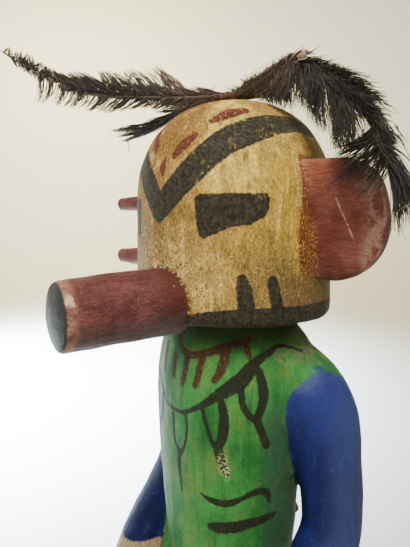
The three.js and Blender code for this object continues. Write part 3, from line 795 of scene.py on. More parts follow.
# The mask's ground is yellow ochre. Redder tones lie on the crown, and clear yellow toward the ear.
crown = paint.both(level(250, 262), around(66, 34))
beside_snout = paint.both(around(30, 10), around(-14, 0), level(226, 234), level(252, 244))
ochre = paint.layers(
    paint.ground(clouds, 0.38, 0.62, (152, 116, 52), (192, 154, 84)),
    ((138, 94, 40), crown, 0.9),
    ((176, 124, 58), level(262, 255), crown, 0.6),
    ((190, 156, 56), around(30, 58), level(266, 256), paint.ramp(streaks, 0.3, 0.6, 0.35, 0.95)),
    # upright streaks and large worn patches
    ((222, 192, 116), pale_streak, 0.7),
    ((130, 98, 42), dark_streak, 0.6),
    ((124, 98, 46), paint.flecks(7, 0.5, 0.66), 0.65),
    # a painted highlight above the eye, painted shade with dirt on the far side, painted shade under the ear,
    # olive patches beside the snout
    ((244, 210, 100), around(16, 30), around(62, 46), level(240, 252), paint.ramp(streaks, 0.3, 0.6), 0.75),
    ((118, 92, 52), around(6, -20), level(262, 252), 0.85),
    ((116, 94, 58), around(34, 54), level(240, 228), 0.75),
    ((128, 100, 44), beside_snout, paint.flecks(5, 0.42, 0.6)),
    ((134, 100, 44), around(66, 56), around(40, 50), level(226, 232), paint.flecks(6, 0.5, 0.62), 0.5),
    # crumbs of paint
    ((230, 206, 128), pale_crumb, 0.6),
    ((104, 78, 38), dark_crumb, 0.55),
    # pale flakes beside the chevron
    ((222, 196, 84), paint.ramp(ink, 1.8, 0.2), level(246, 252), around(8, 16), flaking, 0.7),
)

# Brown red is smeared round the ear's root, with bright and pale flakes along its edge
smear_edge = paint.math("SUBTRACT", paint.attribute("ear_root"), paint.ramp(height, 252, 230, 0.9, 4.2))
smeared = paint.ramp(smear_edge, 0.6, -0.6)
scuffed = paint.both(paint.ramp(smear_edge, 2.4, 1.2), level(240, 248), level(259, 256), flaking)
ochre = paint.layers(
    ochre,
    ((222, 190, 70), paint.ramp(smear_edge, 3.4, 0.4), level(262, 256), flaking, 0.85),
    ((220, 192, 170), scuffed, paint.ramp(fringe, 0.3, 0.6), 0.8),
    ((112, 56, 38), smeared, paint.ramp(crumbs, 0.68, 0.5), level(261, 258)),
    ((180, 134, 70), smeared, flaking, 0.32),
    ((100, 74, 44), around(76, 92), level(240, 250), 0.8),
    # painted shadow below the ear
    ((110, 86, 53), around(60, 72), level(229, 223), paint.ramp(crumbs, 0.66, 0.5, 0.6, 1)),
)

# Specks, filler and a dark joint lie where the snout was glued in; the joint is darkened further as painted
# shade where the snout meets the mask
snout_root = paint.attribute("snout_root")
specked = paint.both(paint.ramp(snout_root, 11, 3), level(212, 222), around(-26, -6))
ochre = paint.layers(
    ochre,
    ((214, 186, 104), specked, flaking, 0.6),
    ((84, 54, 34), specked, paint.ramp(crumbs, 0.46, 0.36)),
    ((232, 212, 170), paint.ramp(snout_root, 2.2, 0.8), paint.flecks(0.8, 0.5, 0.6), level(222, 227)),
    ((98, 56, 42), paint.ramp(snout_root, 1.7, 0.6), paint.ramp(fringe, 0.62, 0.44)),
)

uneven_turn = paint.math("MULTIPLY_ADD", clouds, 36.0, round_turn)
on_shoulder = paint.ramp(paint.math("ABSOLUTE", sideways), 20, 27)
green = paint.layers(
    paint.ground(clouds, 0.38, 0.62, (33, 102, 44), (58, 134, 62)),
    ((116, 136, 60), paint.flecks(6, 0.52, 0.68, (1, 1, 0.5), 0.4)),
    ((104, 160, 78), pale_streak, 0.3),
    ((26, 78, 30), dark_streak, 0.6),
    ((140, 170, 96), pale_crumb, 0.14),
    ((30, 64, 26), dark_crumb, 0.45),
    # duller beside the near arm as painted shade with dirt, paler on the far side as painted light with some
    # rubbing, worn to brown in patches
    ((56, 85, 72), paint.ramp(uneven_turn, 72, 86), around(48, 56), level(196, 178), level(124, 134), 0.7),
    ((104, 120, 74), around(-6, -40), paint.ramp(streaks, 0.35, 0.6), level(124, 134), 0.3),
    ((118, 104, 50), paint.flecks(9, 0.54, 0.7, (1, 1, 0.6)), level(130, 150), 0.35),
    # paler in patches on the shoulders' tops, and a painted shadow under the mask's rim
    ((116, 116, 84), level(198, 202), on_shoulder, paint.flecks(3, 0.36, 0.56), 0.85),
    ((54, 62, 34), level(200, 210), paint.ramp(clouds, 0.2, 0.6, 0.6, 0.95)),
)

blue = paint.layers(
    paint.ground(clouds, 0.38, 0.62, (10, 17, 68), (19, 28, 90)),
    ((48, 62, 130), pale_streak, 0.3),
    ((16, 20, 66), dark_streak, 0.5),
    # paler on the upper arms as painted light from above, a painted sheen on the right arm's outer side and
    # painted rim light on the left arm's outer side, and rubbed along the top edge
    ((48, 60, 136), level(168, 188), 0.55),
    ((94, 106, 142), paint.ramp(sideways, -26, -33), 0.45),
    ((66, 80, 124), paint.ramp(sideways, 34, 42), 0.5),
    ((84, 98, 152), paint.flecks(5, 0.5, 0.66), pale_crumb, 0.6),
    ((104, 116, 150), paint.ramp(sleeve, -2.2, -0.3), level(190, 196), paint.ramp(clouds, 0.4, 0.6), 0.4),
)

bare_wood = paint.layers(
    paint.ground(fibres, 0.3, 0.7, (140, 118, 92), (184, 162, 128)),
    ((96, 78, 60), dark_crumb, 0.5),
)
white_clay = paint.layers(
    paint.ground(clouds, 0.35, 0.65, (186, 174, 148), (214, 204, 180)),
    ((158, 132, 98), pale_streak, 0.6),
    ((118, 98, 74), dark_crumb, 0.6),
)
moccasin = paint.layers(
    paint.ground(clouds, 0.35, 0.65, (104, 44, 34), (134, 62, 46)),
    ((164, 112, 84), pale_crumb, 0.5),
)
madder = paint.layers(
    paint.ground(fringe, 0.35, 0.65, (80, 38, 28), (104, 50, 37)),
    ((72, 44, 30), level(222, 216)),
)
lamp_black = paint.layers(
    paint.ground(fringe, 0.35, 0.65, (38, 35, 29), (64, 59, 46)),
    ((34, 40, 28), level(213, 210), 0.85),
)


def below(z):
    """A field that is negative below a height."""
    return paint.math("SUBTRACT", height, z)


def above(z):
    """A field that is negative above a height."""
    return paint.math("SUBTRACT", z, height)


def band(middle, half_width):
    """A field that is negative in a band round the figure."""
    return paint.math("SUBTRACT", paint.math("ABSOLUTE", below(middle)), half_width)


# The colours are laid on from the feet up, then the hands, the arms and the mask, and the strokes last
colour = green
for field, coat in (
    (below(MOCCASIN_TOP_Z), moccasin),
    (paint.math("MAXIMUM", below(KILT_TOP_Z), above(KILT_HEM_Z)), white_clay),
    (band(*HEM_BAND), green),
    (band(*HEM_LINE), lamp_black),
    (band(*BELT_BAND), moccasin),
    (paint.math("MAXIMUM", arm, below(HAND_TOP_Z)), bare_wood),
    (paint.math("MAXIMUM", arm, above(SHOULDER_Z)), green),
):
    colour = paint.blend(paint.edge(field, fringe, 0.2), colour, coat)
sleeve_cut = paint.math("MAXIMUM", sleeve, above(SLEEVE_END_Z))
colour = paint.blend(paint.edge(sleeve_cut, 0.5, 0.4), colour, blue)
colour = paint.blend(paint.edge(above(MASK_RIM_Z - 0.6), 0.5, 0.2), colour, ochre)
uncrumbled = paint.rest(paint.both(pale_crumb, 0.8))
colour = paint.blend(paint.both(paint.edge(madder_edge, fringe, 0.3), uncrumbled), colour, madder)

# The black is chipped on the brow and scuffed on one loop of the necklace
chipped = paint.both(
    paint.ramp(ink, -2.6, -0.2, 0.2, 1),
    paint.flecks(5, 0.5, 0.64),
    paint.ramp(height, 245, 252, 0.15, 1),
    paint.flecks(1.3, 0.55, 0.62),
)
on_loop = paint.both(around(30, 33), around(42, 38), level(176, 173), level(165, 168))
loop_scuff = paint.both(on_loop, flaking, paint.ramp(ink, 1.3, 0.3))
unworn = paint.rest(paint.math("MAXIMUM", chipped, loop_scuff))
colour = paint.blend(paint.both(paint.edge(ink, fringe, 0.22), unworn), colour, lamp_black)
colour = paint.layers(colour, ((206, 196, 150), loop_scuff, 0.7))
on_body = paint.grit(colour, 0.84, 1.06, (1, 1, 0.7))
on_mask = paint.grit(colour, 0.62, 1.24, (1, 1, 0.5))
colour = paint.blend(level(MASK_RIM_Z - 3, MASK_RIM_Z + 3), on_body, on_mask)
relief = paint.math("MULTIPLY", paint.math("ADD", fibres, crumbs), 0.9)
figure.data.materials.append(paint.finish(colour, paint.ramp(crumbs, 0.3, 0.7, 0.58, 0.8), relief, 0.28))

# Snout. A tapered peg of the same wood, glued into the mask's front, rubbed with dark red, its slanted end
# blackened, with pale wood showing through on the worn rim.
SNOUT_END_RADIUS = 8.5
SNOUT_ROOT_Y = -27.2
SNOUT_END_Y = -62.6
SNOUT_TAPER_POWER = 1.6
SNOUT_EDGE = 1.3
SNOUT_SLANT = 0.2
SNOUT_BULGE = 1.0
SNOUT_CHIP = (6.8, SNOUT_END_Y, 222.8)

length = SNOUT_ROOT_Y - SNOUT_END_Y
profile = [(0, 0), (SNOUT_ROOT_RADIUS, 0)]
for step in range(1, 41):
    along = step / 40 * (length - SNOUT_EDGE)
    taper = (along / length) ** SNOUT_TAPER_POWER
    profile.append((SNOUT_ROOT_RADIUS + (SNOUT_END_RADIUS - SNOUT_ROOT_RADIUS) * taper, along))
for step in range(1, 6):
    turn = step / 5 * math.pi / 2
    out = SNOUT_END_RADIUS - SNOUT_EDGE * (1 - math.cos(turn))
    profile.append((out, length - SNOUT_EDGE * (1 - math.sin(turn))))
for step in range(1, 9):
    share = step / 8
    out = (SNOUT_END_RADIUS - SNOUT_EDGE) * (1 - share)
    profile.append((out, length + SNOUT_BULGE * (1 - (1 - share) ** 2)))
bm = bmesh.new()
turned(bm, profile)
roughen(bm, 0.25, 6.0, seed=3)
roughen(bm, 0.12, 1.6, Vector((0, 0, 1)), seed=4)
for vert in bm.verts:
    x, side, along = vert.co
    along += max(0, along / length) ** 4 * SNOUT_SLANT * x
    vert.co = Vector((x, SNOUT_ROOT_Y - along, SNOUT_Z + side))
snout = make_object("snout_peg", bm)
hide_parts("snout")


def red_wood(name, grain):
    """Dark red earth paint on wood; grain is the stretch that draws the fibres out along the piece."""
    red = Finish(name)
    fibres = red.noise(0.7, 4, grain)
    crumbs = red.noise(0.6, 4)
    tone = red.layers(
        red.ground(red.noise(8, 3), 0.38, 0.62, (94, 53, 53), (119, 70, 67)),
        ((144, 92, 84), red.ramp(fibres, 0.54, 0.72, 0, 0.4)),
        ((84, 42, 36), red.ramp(fibres, 0.44, 0.3, 0, 0.6)),
        ((164, 122, 110), red.ramp(crumbs, 0.58, 0.68, 0, 0.35)),
        ((72, 36, 32), red.ramp(crumbs, 0.42, 0.32, 0, 0.5)),
    )
    return red, tone, fibres, crumbs


red, tone, fibres, crumbs = red_wood("red_snout", (1, 0.16, 1))
snout_up = red.axis(2)
toward_end = red.math("MULTIPLY_ADD", red.axis(0), -SNOUT_SLANT, red.math("MULTIPLY", red.axis(1), -1.0))
tone = red.layers(
    tone,
    ((80, 41, 34), red.ramp(toward_end, 42, 30), 0.75),
    ((78, 40, 38), red.ramp(snout_up, SNOUT_Z + 5, SNOUT_Z + 9.5), 0.5),
    # painted reflected light from below, greying the snout's underside
    ((103, 93, 95), red.ramp(snout_up, SNOUT_Z + 1, SNOUT_Z - 7.5), 0.85),
)
tone = red.grit(tone, 0.76, 1.14, (1, 0.3, 1))
rubbed_end = red.ramp(toward_end, -SNOUT_END_Y - 4.2, -SNOUT_END_Y - 1.2)
rubbed = red.both(rubbed_end, red.ramp(red.axis(0), -4, 2), red.flecks(2.4, 0.3, 0.6))
chip = red.nodes.new("ShaderNodeVectorMath")
chip.operation = "DISTANCE"
red.links.new(red.place, chip.inputs[0])
chip.inputs[1].default_value = SNOUT_CHIP
chip_edge = red.math("MULTIPLY_ADD", red.noise(1.2, 3), 4.0, chip.outputs["Value"])
tone = red.layers(
    tone,
    ((168, 124, 101), rubbed, red.ramp(crumbs, 0.3, 0.56, 0.5, 1), 0.85),
    ((196, 168, 152), red.flecks(1.6, 0.7, 0.74)),
    ((208, 166, 148), red.ramp(chip_edge, 3.7, 3.0)),
    ((52, 52, 51), red.ramp(toward_end, -SNOUT_END_Y - 0.8, -SNOUT_END_Y - 0.3)),
)
snout.data.materials.append(red.finish(tone, 0.66, red.math("ADD", fibres, crumbs), 0.26))

# Ear. A flat half-round board, glued edge-on to the mask's left side and leaning a little forward, painted
# red on every side and rubbed pale round its outer edge.
EAR_ROOT_X = 28
EAR_OUT_X = 51.2
EAR_TOP_END = (40.5, EAR_TOP_Z - 0.8)
EAR_UPPER_HANDLES = [(50, EAR_TOP_Z - 3), (EAR_OUT_X, 248)]
EAR_OUTERMOST = (EAR_OUT_X, 241.5)
EAR_LOWER_HANDLES = [(EAR_OUT_X, 232), (44.5, EAR_BOTTOM_Z + 0.3)]
EAR_BOTTOM_END = (36, EAR_BOTTOM_Z)
EAR_THICKNESS = 5.2
EAR_FRONT_Y = -4
EAR_LEAN = math.radians(11)
EAR_EDGE = 1.5
EAR_FACET = 1.6
EAR_SCRATCH = (39, 246.3, 42.9, 236.2)


def bezier(start, start_handle, end_handle, end, count):
    """Points on a cubic curve after its start, to its end."""
    a, b, c, d = (Vector(point) for point in (start, start_handle, end_handle, end))
    shares = [step / count for step in range(1, count + 1)]
    return [a * (1 - t) ** 3 + b * 3 * t * (1 - t) ** 2 + c * 3 * t * t * (1 - t) + d * t**3 for t in shares]


outline = [Vector((EAR_ROOT_X, EAR_TOP_Z)), Vector(EAR_TOP_END)]
outline += bezier(EAR_TOP_END, *EAR_UPPER_HANDLES, EAR_OUTERMOST, 16)
outline += bezier(EAR_OUTERMOST, *EAR_LOWER_HANDLES, EAR_BOTTOM_END, 20)
outline.append(Vector((EAR_ROOT_X, EAR_BOTTOM_Z)))
bm = bmesh.new()
face = bm.faces.new([bm.verts.new((point.x, 0, point.y)) for point in outline])
back = bmesh.ops.extrude_face_region(bm, geom=[face])
back_verts = [item for item in back["geom"] if isinstance(item, bmesh.types.BMVert)]
bmesh.ops.translate(bm, verts=back_verts, vec=(0, EAR_THICKNESS, 0))
bmesh.ops.recalc_face_normals(bm, faces=bm.faces)
round_off(bm, [edge for edge in bm.edges if apart(edge, 1) < 0.01], EAR_EDGE, 4)
bmesh.ops.triangulate(bm, faces=[face for face in bm.faces if len(face.verts) > 4])
for _ in range(3):
    long_edges = [edge for edge in bm.edges if edge.calc_length() > EAR_FACET]
    bmesh.ops.subdivide_edges(bm, edges=long_edges, cuts=1, use_grid_fill=False)
    bmesh.ops.triangulate(bm, faces=bm.faces)
roughen(bm, 0.25, 6.0, seed=5)
outline = [(point.x, point.y) for point in outline]
places = np.array([vert.co[:] for vert in bm.verts])
ear_fields = {"rim": -outline_distance(places[:, 0], places[:, 2], outline), "depth": places[:, 1]}
middle = Vector((0, EAR_FRONT_Y + EAR_THICKNESS, (EAR_TOP_Z + EAR_BOTTOM_Z) / 2))
bmesh.ops.translate(bm, verts=bm.verts, vec=(0, EAR_FRONT_Y, 0))
bmesh.ops.rotate(bm, verts=bm.verts, cent=middle, matrix=Matrix.Rotation(EAR_LEAN, 3, "X"))
ear = make_object("ear_board", bm)
keep_fields(ear, ear_fields)
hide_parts("ear")

red, tone, fibres, crumbs = red_wood("red_ear", (0.14, 1, 1))
ear_out = red.axis(0)
ear_up = red.axis(2)
tone = red.layers(
    tone,
    ((154, 92, 76), 0.35),
    ((96, 42, 35), red.ramp(red.noise(10, 2), 0.4, 0.6, 0, 0.65)),
    # painted light: the upper part near the root lighter, where light from above falls
    ((146, 82, 60), red.ramp(ear_up, 242, 254), red.ramp(ear_out, 46, 34), 0.7),
)
tone = red.grit(tone, 0.82, 1.14, (0.3, 1, 1))
rubbed = red.both(red.ramp(red.attribute("rim"), 7, 2), red.ramp(ear_out, 41, 47))
scuff = red.both(red.flecks(3.4, 0.36, 0.54, (1, 1, 0.6)), red.ramp(crumbs, 0.36, 0.58, 0.4, 1))
by_root = red.both(red.ramp(ear_out, 33.6, 31.6), red.flecks(0.7, 0.46, 0.66))
x0, z0, x1, z1 = EAR_SCRATCH
reach = math.hypot(x1 - x0, z1 - z0)
across = red.math("MULTIPLY", red.math("SUBTRACT", ear_out, x0), (z0 - z1) / reach)
across = red.math("MULTIPLY_ADD", red.math("SUBTRACT", ear_up, z0), (x1 - x0) / reach, across)
scratch = red.both(red.ramp(red.math("ABSOLUTE", across), 0.34, 0.12), red.ramp(fibres, 0.36, 0.5))
tone = red.layers(
    tone,
    ((184, 144, 127), rubbed, scuff, 0.72),
    ((210, 170, 148), by_root, red.ramp(ear_up, 246, 254), 0.4),
    ((188, 142, 66), by_root, red.ramp(ear_up, 246, 236), 0.75),
    ((206, 152, 132), scratch, red.ramp(ear_up, z1 - 1, z1 + 1), red.ramp(ear_up, z0 + 1, z0 - 1), 0.8),
    # the board's edges, its back and its lower end are darker
    ((76, 54, 50), red.ramp(red.attribute("depth"), 0.8, 2.2), 0.85),
    ((70, 48, 42), red.ramp(ear_up, 230, 225), red.ramp(crumbs, 0.3, 0.6), 0.8),
)
ear.data.materials.append(red.finish(tone, 0.64, red.math("ADD", fibres, crumbs), 0.26))

# Ear pegs and the peg at the back of the waist. Short whittled dowels, pressed or glued in and dipped in the
# same red, with a chamfer knifed round each end.
PEG_HEADING = math.radians(190)
PEG_REACH = 51.5
PEG_CHAMFER = 1.2

# Height, root radius and tip radius
EAR_PEGS = {"ear_peg_upper": (248, 3.3, 2.4), "ear_peg_lower": (228.2, 3.8, 2.8)}
BACK_PEG_X = 9.5
BACK_PEG_Y = (15, 25)
BACK_PEG_Z = 136
BACK_PEG_RADIUS = 2.4
BACK_PEG_CHAMFER = 0.9


def whittled_peg(start, end, root_radius, tip_radius, chamfer):
    """A dowel from start to end with a chamfered end, a little out of round."""
    bm = bmesh.new()
    axis = Vector(end) - Vector(start)
    reach = axis.length
    turn = axis.to_track_quat("Z", "Y").to_matrix().to_4x4()
    chamfer_share = 0.12

    def rule(x, y, share):
        past_root = share * (1 + chamfer_share)
        wall = min(1.0, past_root)
        cut = chamfer * max(0.0, past_root - 1) / chamfer_share
        radius = root_radius + (tip_radius - root_radius) * wall - cut
        return Vector((x * radius, y * radius, wall * (reach - chamfer) + cut))

    tube(bm, 20, 28, rule)
    roughen(bm, 0.3, 3.0, seed=root_radius)
    bmesh.ops.transform(bm, verts=bm.verts, matrix=Matrix.Translation(start) @ turn)
    return bm


red, tone, fibres, crumbs = red_wood("red_pegs", (0.2, 1, 1))
peg_red = red.finish(tone, 0.68, red.math("ADD", fibres, crumbs), 0.2)
peg_way = Vector((math.cos(PEG_HEADING), math.sin(PEG_HEADING), 0))
for node, (z, root_radius, tip_radius) in EAR_PEGS.items():
    start = peg_way * (MASK_RADIUS - 2) + Vector((0, 0, z))
    end = peg_way * PEG_REACH + Vector((0, 0, z))
    peg = make_object(node + "_dowel", whittled_peg(start, end, root_radius, tip_radius, PEG_CHAMFER))
    peg.data.materials.append(peg_red)
    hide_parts(node)

start, end = (Vector((BACK_PEG_X, y, BACK_PEG_Z)) for y in BACK_PEG_Y)
bm = whittled_peg(start, end, BACK_PEG_RADIUS, BACK_PEG_RADIUS, BACK_PEG_CHAMFER)
peg = make_object("back_peg_dowel", bm)
peg.data.materials.append(peg_red)
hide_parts("back_peg")

# Feather tie. The bare ends of the quills lie together on the crown, glued down, with a few turns of reddish
# cord round them and the down of the feathers caught in the glue.
TIE_HALF_LENGTH = 8.5
TIE_Z = 280
TIE_HEADING = math.radians(20)
CORD_RADIUS = 0.45
CORD_TURNS = 5
CORD_STEPS = 16
WHIPPING_LENGTH = 5
WHIPPING_OFFSET = -1.5
WHIPPING_RADIUS = 2.2
WHIPPING_FLATNESS = 0.62
QUILL_ENDS = 9
DOWN_THREADS = 320


def rods(name, node, lines, material, sides=0):
    """One piece of closed round rods, each a list of (place, radius) and its tone, 0 dark to 1 pale."""
    curve = bpy.data.curves.new(name, "CURVE")
    curve.dimensions = "3D"
    curve.bevel_depth = 1.0
    curve.bevel_resolution = sides
    for line, _ in lines:
        spline = curve.splines.new("POLY")
        spline.points.add(len(line) - 1)
        for point, (place, radius) in zip(spline.points, line):
            point.co = (*place, 1)
            point.radius = radius
    holder = bpy.data.objects.new(name, curve)
    bpy.context.scene.collection.objects.link(holder)
    bpy.context.view_layer.update()
    mesh = bpy.data.meshes.new_from_object(holder.evaluated_get(bpy.context.evaluated_depsgraph_get()))
    bpy.data.objects.remove(holder)
    bm = bmesh.new()
    bm.from_mesh(mesh)
    bpy.data.meshes.remove(mesh)
    bmesh.ops.holes_fill(bm, edges=[edge for edge in bm.edges if edge.is_boundary])
    piece = make_object(name, bm)
    counts = np.array([len(line) for line, _ in lines])
    round_count = len(piece.data.vertices) // counts.sum()
    keep_fields(piece, {"tone": np.repeat([tone for _, tone in lines], counts * round_count)})
    piece.data.materials.append(material)
    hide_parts(node)


knot = Vector((0, 0, TIE_Z))
down_bed = Vector((0, 0, TIE_Z - 0.6))
upward = Vector((0, 0, 1))
tie_way = Vector((math.cos(TIE_HEADING), math.sin(TIE_HEADING), 0))
tie_side = upward.cross(tie_way)
whipping = []
cord_end = CORD_TURNS * CORD_STEPS
for step in range(cord_end + 1):
    turn = step / CORD_STEPS * math.tau
    along = (step / cord_end - 0.5) * WHIPPING_LENGTH + WHIPPING_OFFSET
    wide = WHIPPING_RADIUS + 0.25 * math.sin(step * 0.7)
    place = knot + tie_way * along + tie_side * math.cos(turn) * wide
    whipping.append((place + upward * math.sin(turn) * wide * WHIPPING_FLATNESS, CORD_RADIUS))
tie_lines = [(whipping, 0.4)]
for step in range(QUILL_ENDS):
    start = knot - tie_way * (TIE_HALF_LENGTH - 1) + tie_side * (step - 4) * 0.5
    end = knot + tie_way * (TIE_HALF_LENGTH - 1) + tie_side * (4 - step) * 0.45
    lift = upward * 0.5 * math.sin(step * 2.1)
    quill_end = [(start + lift, 0.4), ((start + end) / 2 + lift, 0.7), (end + lift, 0.4)]
    tie_lines.append((quill_end, random.random() * 0.6))
for _ in range(DOWN_THREADS):
    start = down_bed + tie_way * random.uniform(-8, 8) + tie_side * random.uniform(-2.2, 2.2)
    reach = tie_way * random.gauss(0, 2) + tie_side * random.gauss(0, 1) + upward * random.uniform(0.4, 2.7)
    bend = tie_side * random.gauss(0, 0.6)
    thread = [(start, 0.16), (start + reach * 0.5 + bend, 0.13), (start + reach, 0.05)]
    tie_lines.append((thread, random.random()))

cord = Finish("brown_cord")
strands = cord.noise(0.4, 2)
cord_tone = cord.layers(
    cord.blend(cord.attribute("tone"), srgb(52, 42, 36), srgb(126, 84, 74)),
    ((150, 118, 98), cord.ramp(strands, 0.5, 0.7, 0, 0.6)),
)
cord_brown = cord.finish(cord_tone, 0.85, strands, 0.15)
rods("cord_tie", "feather_tie", tie_lines, cord_brown, 1)

# Feathers. Dark body feathers of a turkey, old and dry: the barbs have come apart into clumps, curl, and fray
# into loose threads. They are bent as the years left them, one out over the brow, one broken over the ear.
FRONT_HEADING = math.radians(-145)
ARCH_HEADING = math.radians(-12)
SMALL_HEADING = math.radians(-170)
BARB_RADIUS = 0.17
BUNCH_COUNT = 15
BUNCH_SPREAD = 0.4


def on_heading(heading, out, z, off=0.0):
    """A place at a distance out on a heading from the crown's middle, off to the left of it, at a height."""
    ahead, across = math.cos(heading), math.sin(heading)
    return Vector((out * ahead - off * across, out * across + off * ahead, z))


def quill(heading, rows):
    """A feather's shaft through rows of (out, z, radius)."""
    shaft = [along_rows(rows, step / 40) for step in range(41)]
    return [(on_heading(heading, out, z), radius) for out, z, radius in shaft], 0.3


def tuft(heading, roots, tips, count, bow=0.1, loose=0.5, wide=0.8, tone=0.0, thick=1.0):
    """Barbs that spring from a line of roots, given as (out, z) rows, and end along a line of tips, where
    they cling together in bunches. bow bends them to the left of their way, loose scatters their tips in the
    feather's plane, and wide scatters them across it."""
    lines = []
    bunches = max(1, round(count / BUNCH_COUNT))
    for index in range(count):
        share = (index + random.random()) / count
        bunch = math.floor(share * bunches)
        tip_share = (bunch + 0.5 + (share * bunches - bunch - 0.5) * BUNCH_SPREAD) / bunches
        root = Vector(along_rows(roots, share))
        tip = Vector(along_rows(tips, tip_share)) + Vector((random.gauss(0, loose), random.gauss(0, loose)))
        reach = tip - root
        tip -= reach * max(0, random.gauss(-0.02, 0.1))
        flat = Vector((-reach.y, reach.x))
        middle = (root + tip) / 2 + flat * random.gauss(bow, 0.05 + abs(bow) * 0.2)
        root_off = random.gauss(0, 0.35)
        tip_off = random.gauss(0, wide)
        line = []
        for step in range(6):
            t = step / 5
            place = root * (1 - t) ** 2 + middle * 2 * t * (1 - t) + tip * t * t
            off = root_off + (tip_off - root_off) * t * t
            line.append((on_heading(heading, place.x, place.y, off), BARB_RADIUS * thick * (1 - 0.8 * t)))
        lines.append((line, min(1, max(0, random.gauss(tone, 0.15)))))
    return lines


dark_feather = Finish("dark_feather")
paleness = dark_feather.attribute("tone")
threads = dark_feather.noise(0.9, 2)
barb_tone = dark_feather.layers(
    dark_feather.ground(paleness, 0, 0.5, (33, 31, 29), (90, 73, 62)),
    ((164, 132, 113), dark_feather.ramp(paleness, 0.5, 1)),
    ((86, 74, 64), dark_feather.ramp(threads, 0.5, 0.75, 0, 0.3)),
)
feather_black = dark_feather.finish(barb_tone, 0.6, shine=0.4)

FRONT_QUILL = [
    (2, 280.9, 0.9),
    (11.9, 280.4, 0.9),
    (20.2, 280.8, 0.8),
    (28.6, 281.3, 0.7),
    (37.2, 281.9, 0.6),
    (44.8, 282.6, 0.55),
    (50.8, 284.4, 0.5),
    (57.9, 287.3, 0.42),
    (65.4, 291.1, 0.35),
    (69.7, 293.2, 0.3),
    (74.1, 295.2, 0.25),
    (77.7, 297.4, 0.2),
    (80.7, 299.6, 0.12),
]
front = [quill(FRONT_HEADING, FRONT_QUILL)]
for roots, tips, count, bow, loose, tone in [
    # above the shaft, from the tip of the feather back to the crown
    ([(79.4, 298.6), (75.2, 296)], [(77.6, 300.4), (76, 299.4)], 20, -0.3, 0.3, 0.1),
    ([(76, 296), (72, 294.2)], [(74.6, 298.6), (72.4, 298.2)], 34, -0.1, 0.25, 0.05),
    ([(73.4, 294.8), (67.6, 292)], [(70.6, 298), (68.6, 296.6)], 52, -0.05, 0.25, 0.05),
    ([(69.4, 293), (61.4, 289)], [(66, 295), (62.6, 292.6)], 66, -0.06, 0.3, 0.05),
    ([(66, 291.2), (56, 286.6)], [(63.6, 292.8), (60.6, 291.4)], 60, -0.1, 0.3, 0.05),
    ([(60.6, 288.4), (47.4, 283.2)], [(61.6, 291.6), (57.4, 290)], 90, 0.02, 0.3, 0.05),
    ([(52.4, 284.6), (37.2, 281.9)], [(56.2, 290.8), (50.6, 290.4)], 96, 0.05, 0.25, 0.05),
    ([(42.4, 282.2), (34, 281.6)], [(45.2, 290.4), (42.6, 290.2)], 44, 0.06, 0.3, 0.1),
    ([(37.4, 281.8), (28.3, 281.2)], [(42, 290.2), (38.4, 289.6)], 44, 0.07, 0.4, 0.15),
    ([(31.6, 281.4), (26, 281)], [(37, 290.2), (34.4, 289.8)], 30, 0.08, 0.4, 0.2),
    ([(28.4, 281.2), (22, 280.9)], [(34.4, 290.2), (31, 289.6)], 30, 0.08, 0.5, 0.25),
    ([(24.2, 280.9), (14.6, 280.5)], [(30, 290), (21.4, 288.6)], 46, 0.12, 0.9, 0.55),
    ([(20.4, 280.8), (13.6, 280.5)], [(27.4, 291), (24.8, 290.6)], 22, 0.1, 0.7, 0.6),
    ([(24, 288.4), (22.4, 286.4)], [(20.9, 280.2), (18.4, 280.4)], 6, 0.1, 0.5, 0.6),
    ([(10.2, 280.6), (8.8, 280.6)], [(6.4, 284.9), (5.9, 284.4)], 3, 0.1, 0.3, 0.3),
    # below the shaft
    ([(67.6, 292), (61.9, 289.2)], [(67.8, 282.2), (66, 281.2)], 30, -0.24, 0.6, 0.35),
    ([(63.6, 290), (55.9, 286.4)], [(64.6, 282.9), (60.4, 280.4)], 34, -0.18, 0.5, 0.3),
    ([(58.3, 287.4), (49.2, 284)], [(60.7, 280), (55.2, 279.4)], 40, -0.14, 0.35, 0.3),
    ([(51.9, 284), (42.1, 281.7)], [(55.4, 279.6), (48.4, 277.8)], 38, -0.1, 0.3, 0.3),
    ([(44.8, 282.2), (34.1, 281.2)], [(49.4, 278.2), (42.4, 277)], 40, -0.1, 0.3, 0.25),
    ([(36.8, 281.6), (26.6, 280.8)], [(42.4, 277.2), (34, 278)], 44, -0.08, 0.3, 0.2),
    ([(29.3, 281), (20.2, 280.4)], [(34.4, 278.2), (26.4, 277.6)], 44, -0.06, 0.3, 0.25),
    ([(22.9, 280.8), (11.6, 280.2)], [(27.4, 277.6), (18.2, 276.9)], 46, -0.06, 0.4, 0.35),
    ([(14, 280.9), (3, 281.1)], [(20, 284), (10.9, 283.2)], 60, 0.04, 0.5, 0.4),
    ([(24, 281.2), (10, 280.9)], [(29, 284.6), (18, 283.4)], 70, 0.05, 0.4, 0.3),
    ([(20, 280.4), (2, 280.5)], [(26, 277.8), (11, 278.3)], 90, -0.04, 0.5, 0.35),
    ([(76.6, 296.4), (69, 293)], [(75.6, 294.2), (71.2, 291.4)], 26, 0.05, 0.3, 0.05),
    ([(72, 294.4), (63, 290)], [(70.4, 291), (65.8, 287.4)], 40, 0.05, 0.3, 0.1),
    ([(73, 294.6), (50, 284.2)], [(74.6, 293.6), (54, 283.6)], 120, -0.05, 0.35, 0.1),
    ([(54, 285.6), (16, 280.8)], [(58, 285), (21.6, 278.8)], 260, -0.04, 0.35, 0.1),
    ([(56, 286.6), (16, 280.8)], [(62, 290.4), (23, 284.4)], 240, 0.03, 0.4, 0.1),
]:
    front += tuft(FRONT_HEADING, roots, tips, count, bow, loose, 0.5, tone)
rods("plume_over_brow", "plume_front", front, feather_black)

